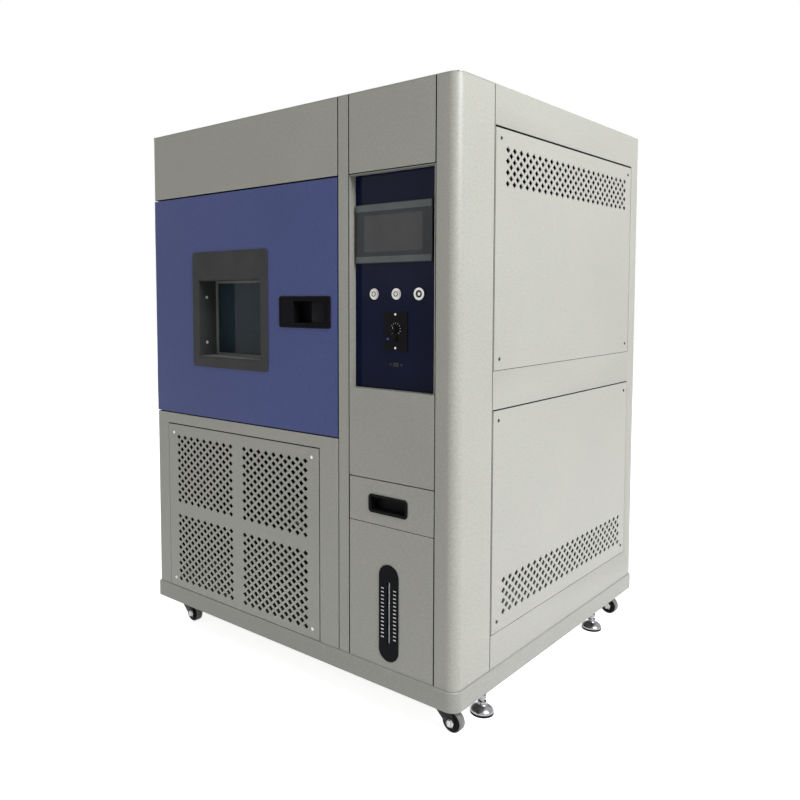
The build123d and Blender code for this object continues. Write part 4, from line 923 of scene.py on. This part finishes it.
frontVent = {"low": (52.8, 0, 48.5), "high": (665.2, 2, 542.8), "holes": (9, 9), "pitch": (28.9, 24.0),
             "halfDiagonal": 8.9, "heightShare": 0.86, "cutDepth": 20, "fields": (2, 2),
             "fieldStep": (287.0, 240.0), "firstHole": (100.0, 74.5), "middleY": 1}
sideVent = {"y": (156, 961), "holes": (23, 4), "pitch": (31.9, 25.7), "halfDiagonal": 9.5,
            "heightShare": 0.84, "cutDepth": 20, "fields": (1, 1), "fieldStep": (0.0, 0.0), "middleX": 1067,
            "firstY": 211.0, "sheets": {"upper": (753.0, 1305.0, 1183.0), "lower": (130.0, 658.5, 171.0)}}


def middleOf(vent, firstHole):
    # centre of all the fields together, from the lowest hole at the start of the first one
    middle = []
    for i in (0, 1):
        oneField = (vent["holes"][i] - 1) * vent["pitch"][i]
        toLastField = (vent["fields"][i] - 1) * vent["fieldStep"][i]
        middle.append(firstHole[i] + (oneField + toLastField) / 2)
    return middle


def perforate(name, low, high, vent, turn, place, nodeName):
    runTree(name, perforationTree, startBox(high - low, (low + high) / 2), "ventPaint", {
        "Columns": vent["holes"][0], "Rows": vent["holes"][1],
        "Pitch Across": vent["pitch"][0] / 1000, "Pitch Up": vent["pitch"][1] / 1000,
        "Half Diagonal": vent["halfDiagonal"] / 1000, "Height Share": vent["heightShare"],
        "Cut Depth": vent["cutDepth"] / 1000,
        "Fields Across": vent["fields"][0], "Fields Up": vent["fields"][1],
        "Field Step Across": vent["fieldStep"][0] / 1000, "Field Step Up": vent["fieldStep"][1] / 1000,
        "Turn": turn, "Place": place}, nodeName)


middleX, middleZ = middleOf(frontVent, frontVent["firstHole"])
perforate("front_vent_sheet", at(*frontVent["low"]), at(*frontVent["high"]), frontVent, facingFront,
          at(middleX, frontVent["middleY"], middleZ), "front_vent_panel")
sheetInside, sheetOutside = [corner[0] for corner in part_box("side_vent_panels")]
for level, (lowZ, highZ, firstZ) in sideVent["sheets"].items():
    low, high = at(0, sideVent["y"][0], lowZ), at(0, sideVent["y"][1], highZ)
    low.x, high.x = sheetInside, sheetOutside
    middleY, middleZ = middleOf(sideVent, (sideVent["firstY"], firstZ))
    perforate("side_vent_sheet_" + level, low, high, sideVent, facingRight,
              at(sideVent["middleX"], middleY, middleZ), "side_vent_panels")
print("vent panels perforated")


# Camera, lamps, world and floor

studio = {"lens": 35.207, "sensor": 36, "shift": (0.0952, -0.0682),
          "cameraPlace": (1.44465, -1.94989, 1.00313), "cameraTurn": (86.3158, 0.2217, 41.9113),
          "farthest": 100, "floorSize": 30.0, "floorGrey": 0.80, "floorRough": 0.9, "floorGlow": 0.84,
          "worldLight": 0.20}
lamps = {
    "side window lamp": {"power": 225.0, "size": 2.2, "place": (3.6, -0.7, 3.1), "aim": (0.5, 0, 1.2),
                         "colour": (0.945, 0.955, 1.0)},
    "front fill lamp": {"power": 20.0, "size": 3.0, "place": (-1.6, -4.2, 2.4), "aim": (0, 0, 0.7)},
    "rear lamp": {"power": 110.0, "size": 3.0, "place": (-2.6, 4.0, 2.6), "aim": (0, 0, 0.7)},
    "top lamp": {"power": 24.0, "size": 3.0, "place": (0.4, -0.2, 4.2), "aim": (0, 0, 0)},
}


def placeCamera():
    cameraData = bpy.data.cameras.new("photo camera")
    cameraData.lens = studio["lens"]
    cameraData.sensor_width = studio["sensor"]
    cameraData.shift_x, cameraData.shift_y = studio["shift"]
    cameraData.clip_end = studio["farthest"]
    camera = intoScene("photo camera", cameraData)
    camera.location = studio["cameraPlace"]
    camera.rotation_euler = [math.radians(angle) for angle in studio["cameraTurn"]]
    bpy.context.scene.camera = camera


def placeLamp(name, sizes):
    lampData = bpy.data.lights.new(name, "AREA")
    lampData.energy = sizes["power"]
    lampData.color = sizes.get("colour", (1, 1, 1))
    lampData.shape = "SQUARE"
    lampData.size = sizes["size"]
    lamp = intoScene(name, lampData)
    lamp.location = sizes["place"]
    toAim = Vector(sizes["aim"]) - Vector(sizes["place"])
    lamp.rotation_euler = toAim.to_track_quat("-Z", "Y").to_euler()


def seenDirectly(tree):
    # 1 for rays of the camera, a mirror or glass, and 0 for the light that falls on the part
    rays = tree.nodes.new("ShaderNodeLightPath").outputs
    plain = mathStep(tree, "MAXIMUM", rays["Is Camera Ray"], rays["Is Glossy Ray"])
    return mathStep(tree, "MAXIMUM", plain, rays["Is Transmission Ray"])


def whiteWorld():
    # white where it is seen, and a weak light otherwise
    world = bpy.data.worlds.new("studio")
    bpy.context.scene.world = world
    world.use_nodes = True
    tree = world.node_tree
    lighting = tree.nodes["Background"]
    lighting.inputs["Color"].default_value = (1, 1, 1, 1)
    lighting.inputs["Strength"].default_value = studio["worldLight"]
    shown = addNode(tree, "ShaderNodeBackground", inputs={"Color": (1, 1, 1, 1), "Strength": 1.0})
    mix = tree.nodes.new("ShaderNodeMixShader")
    tree.links.new(seenDirectly(tree), mix.inputs[0])
    tree.links.new(lighting.outputs[0], mix.inputs[1])
    tree.links.new(shown.outputs[0], mix.inputs[2])
    tree.links.new(mix.outputs[0], tree.nodes["World Output"].inputs["Surface"])


def floorMaterial():
    # a pale floor that glows up to white where it is seen, so only its shadows show
    material, tree, shader = startMaterial("pale studio floor")
    shader.inputs["Base Color"].default_value = (*[studio["floorGrey"]] * 3, 1)
    shader.inputs["Roughness"].default_value = studio["floorRough"]
    glow = addNode(tree, "ShaderNodeEmission", inputs={"Color": (1, 1, 1, 1)})
    strength = mathStep(tree, "MULTIPLY", seenDirectly(tree), studio["floorGlow"])
    tree.links.new(strength, glow.inputs["Strength"])
    total = tree.nodes.new("ShaderNodeAddShader")
    tree.links.new(shader.outputs[0], total.inputs[0])
    tree.links.new(glow.outputs[0], total.inputs[1])
    tree.links.new(total.outputs[0], tree.nodes["Material Output"].inputs["Surface"])
    return material


placeCamera()
for name, sizes in lamps.items():
    placeLamp(name, sizes)
whiteWorld()
floorMesh = bpy.data.meshes.new("studioFloor")
half = studio["floorSize"] / 2
floorCorners = [(-half, -half, 0), (half, -half, 0), (half, half, 0), (-half, half, 0)]
floorMesh.from_pydata(floorCorners, [], [(0, 1, 2, 3)])
floorMesh.materials.append(floorMaterial())
floor = intoScene("studioFloor", floorMesh)
bpy.context.scene.view_settings.view_transform = "Standard"
print("studio ready")
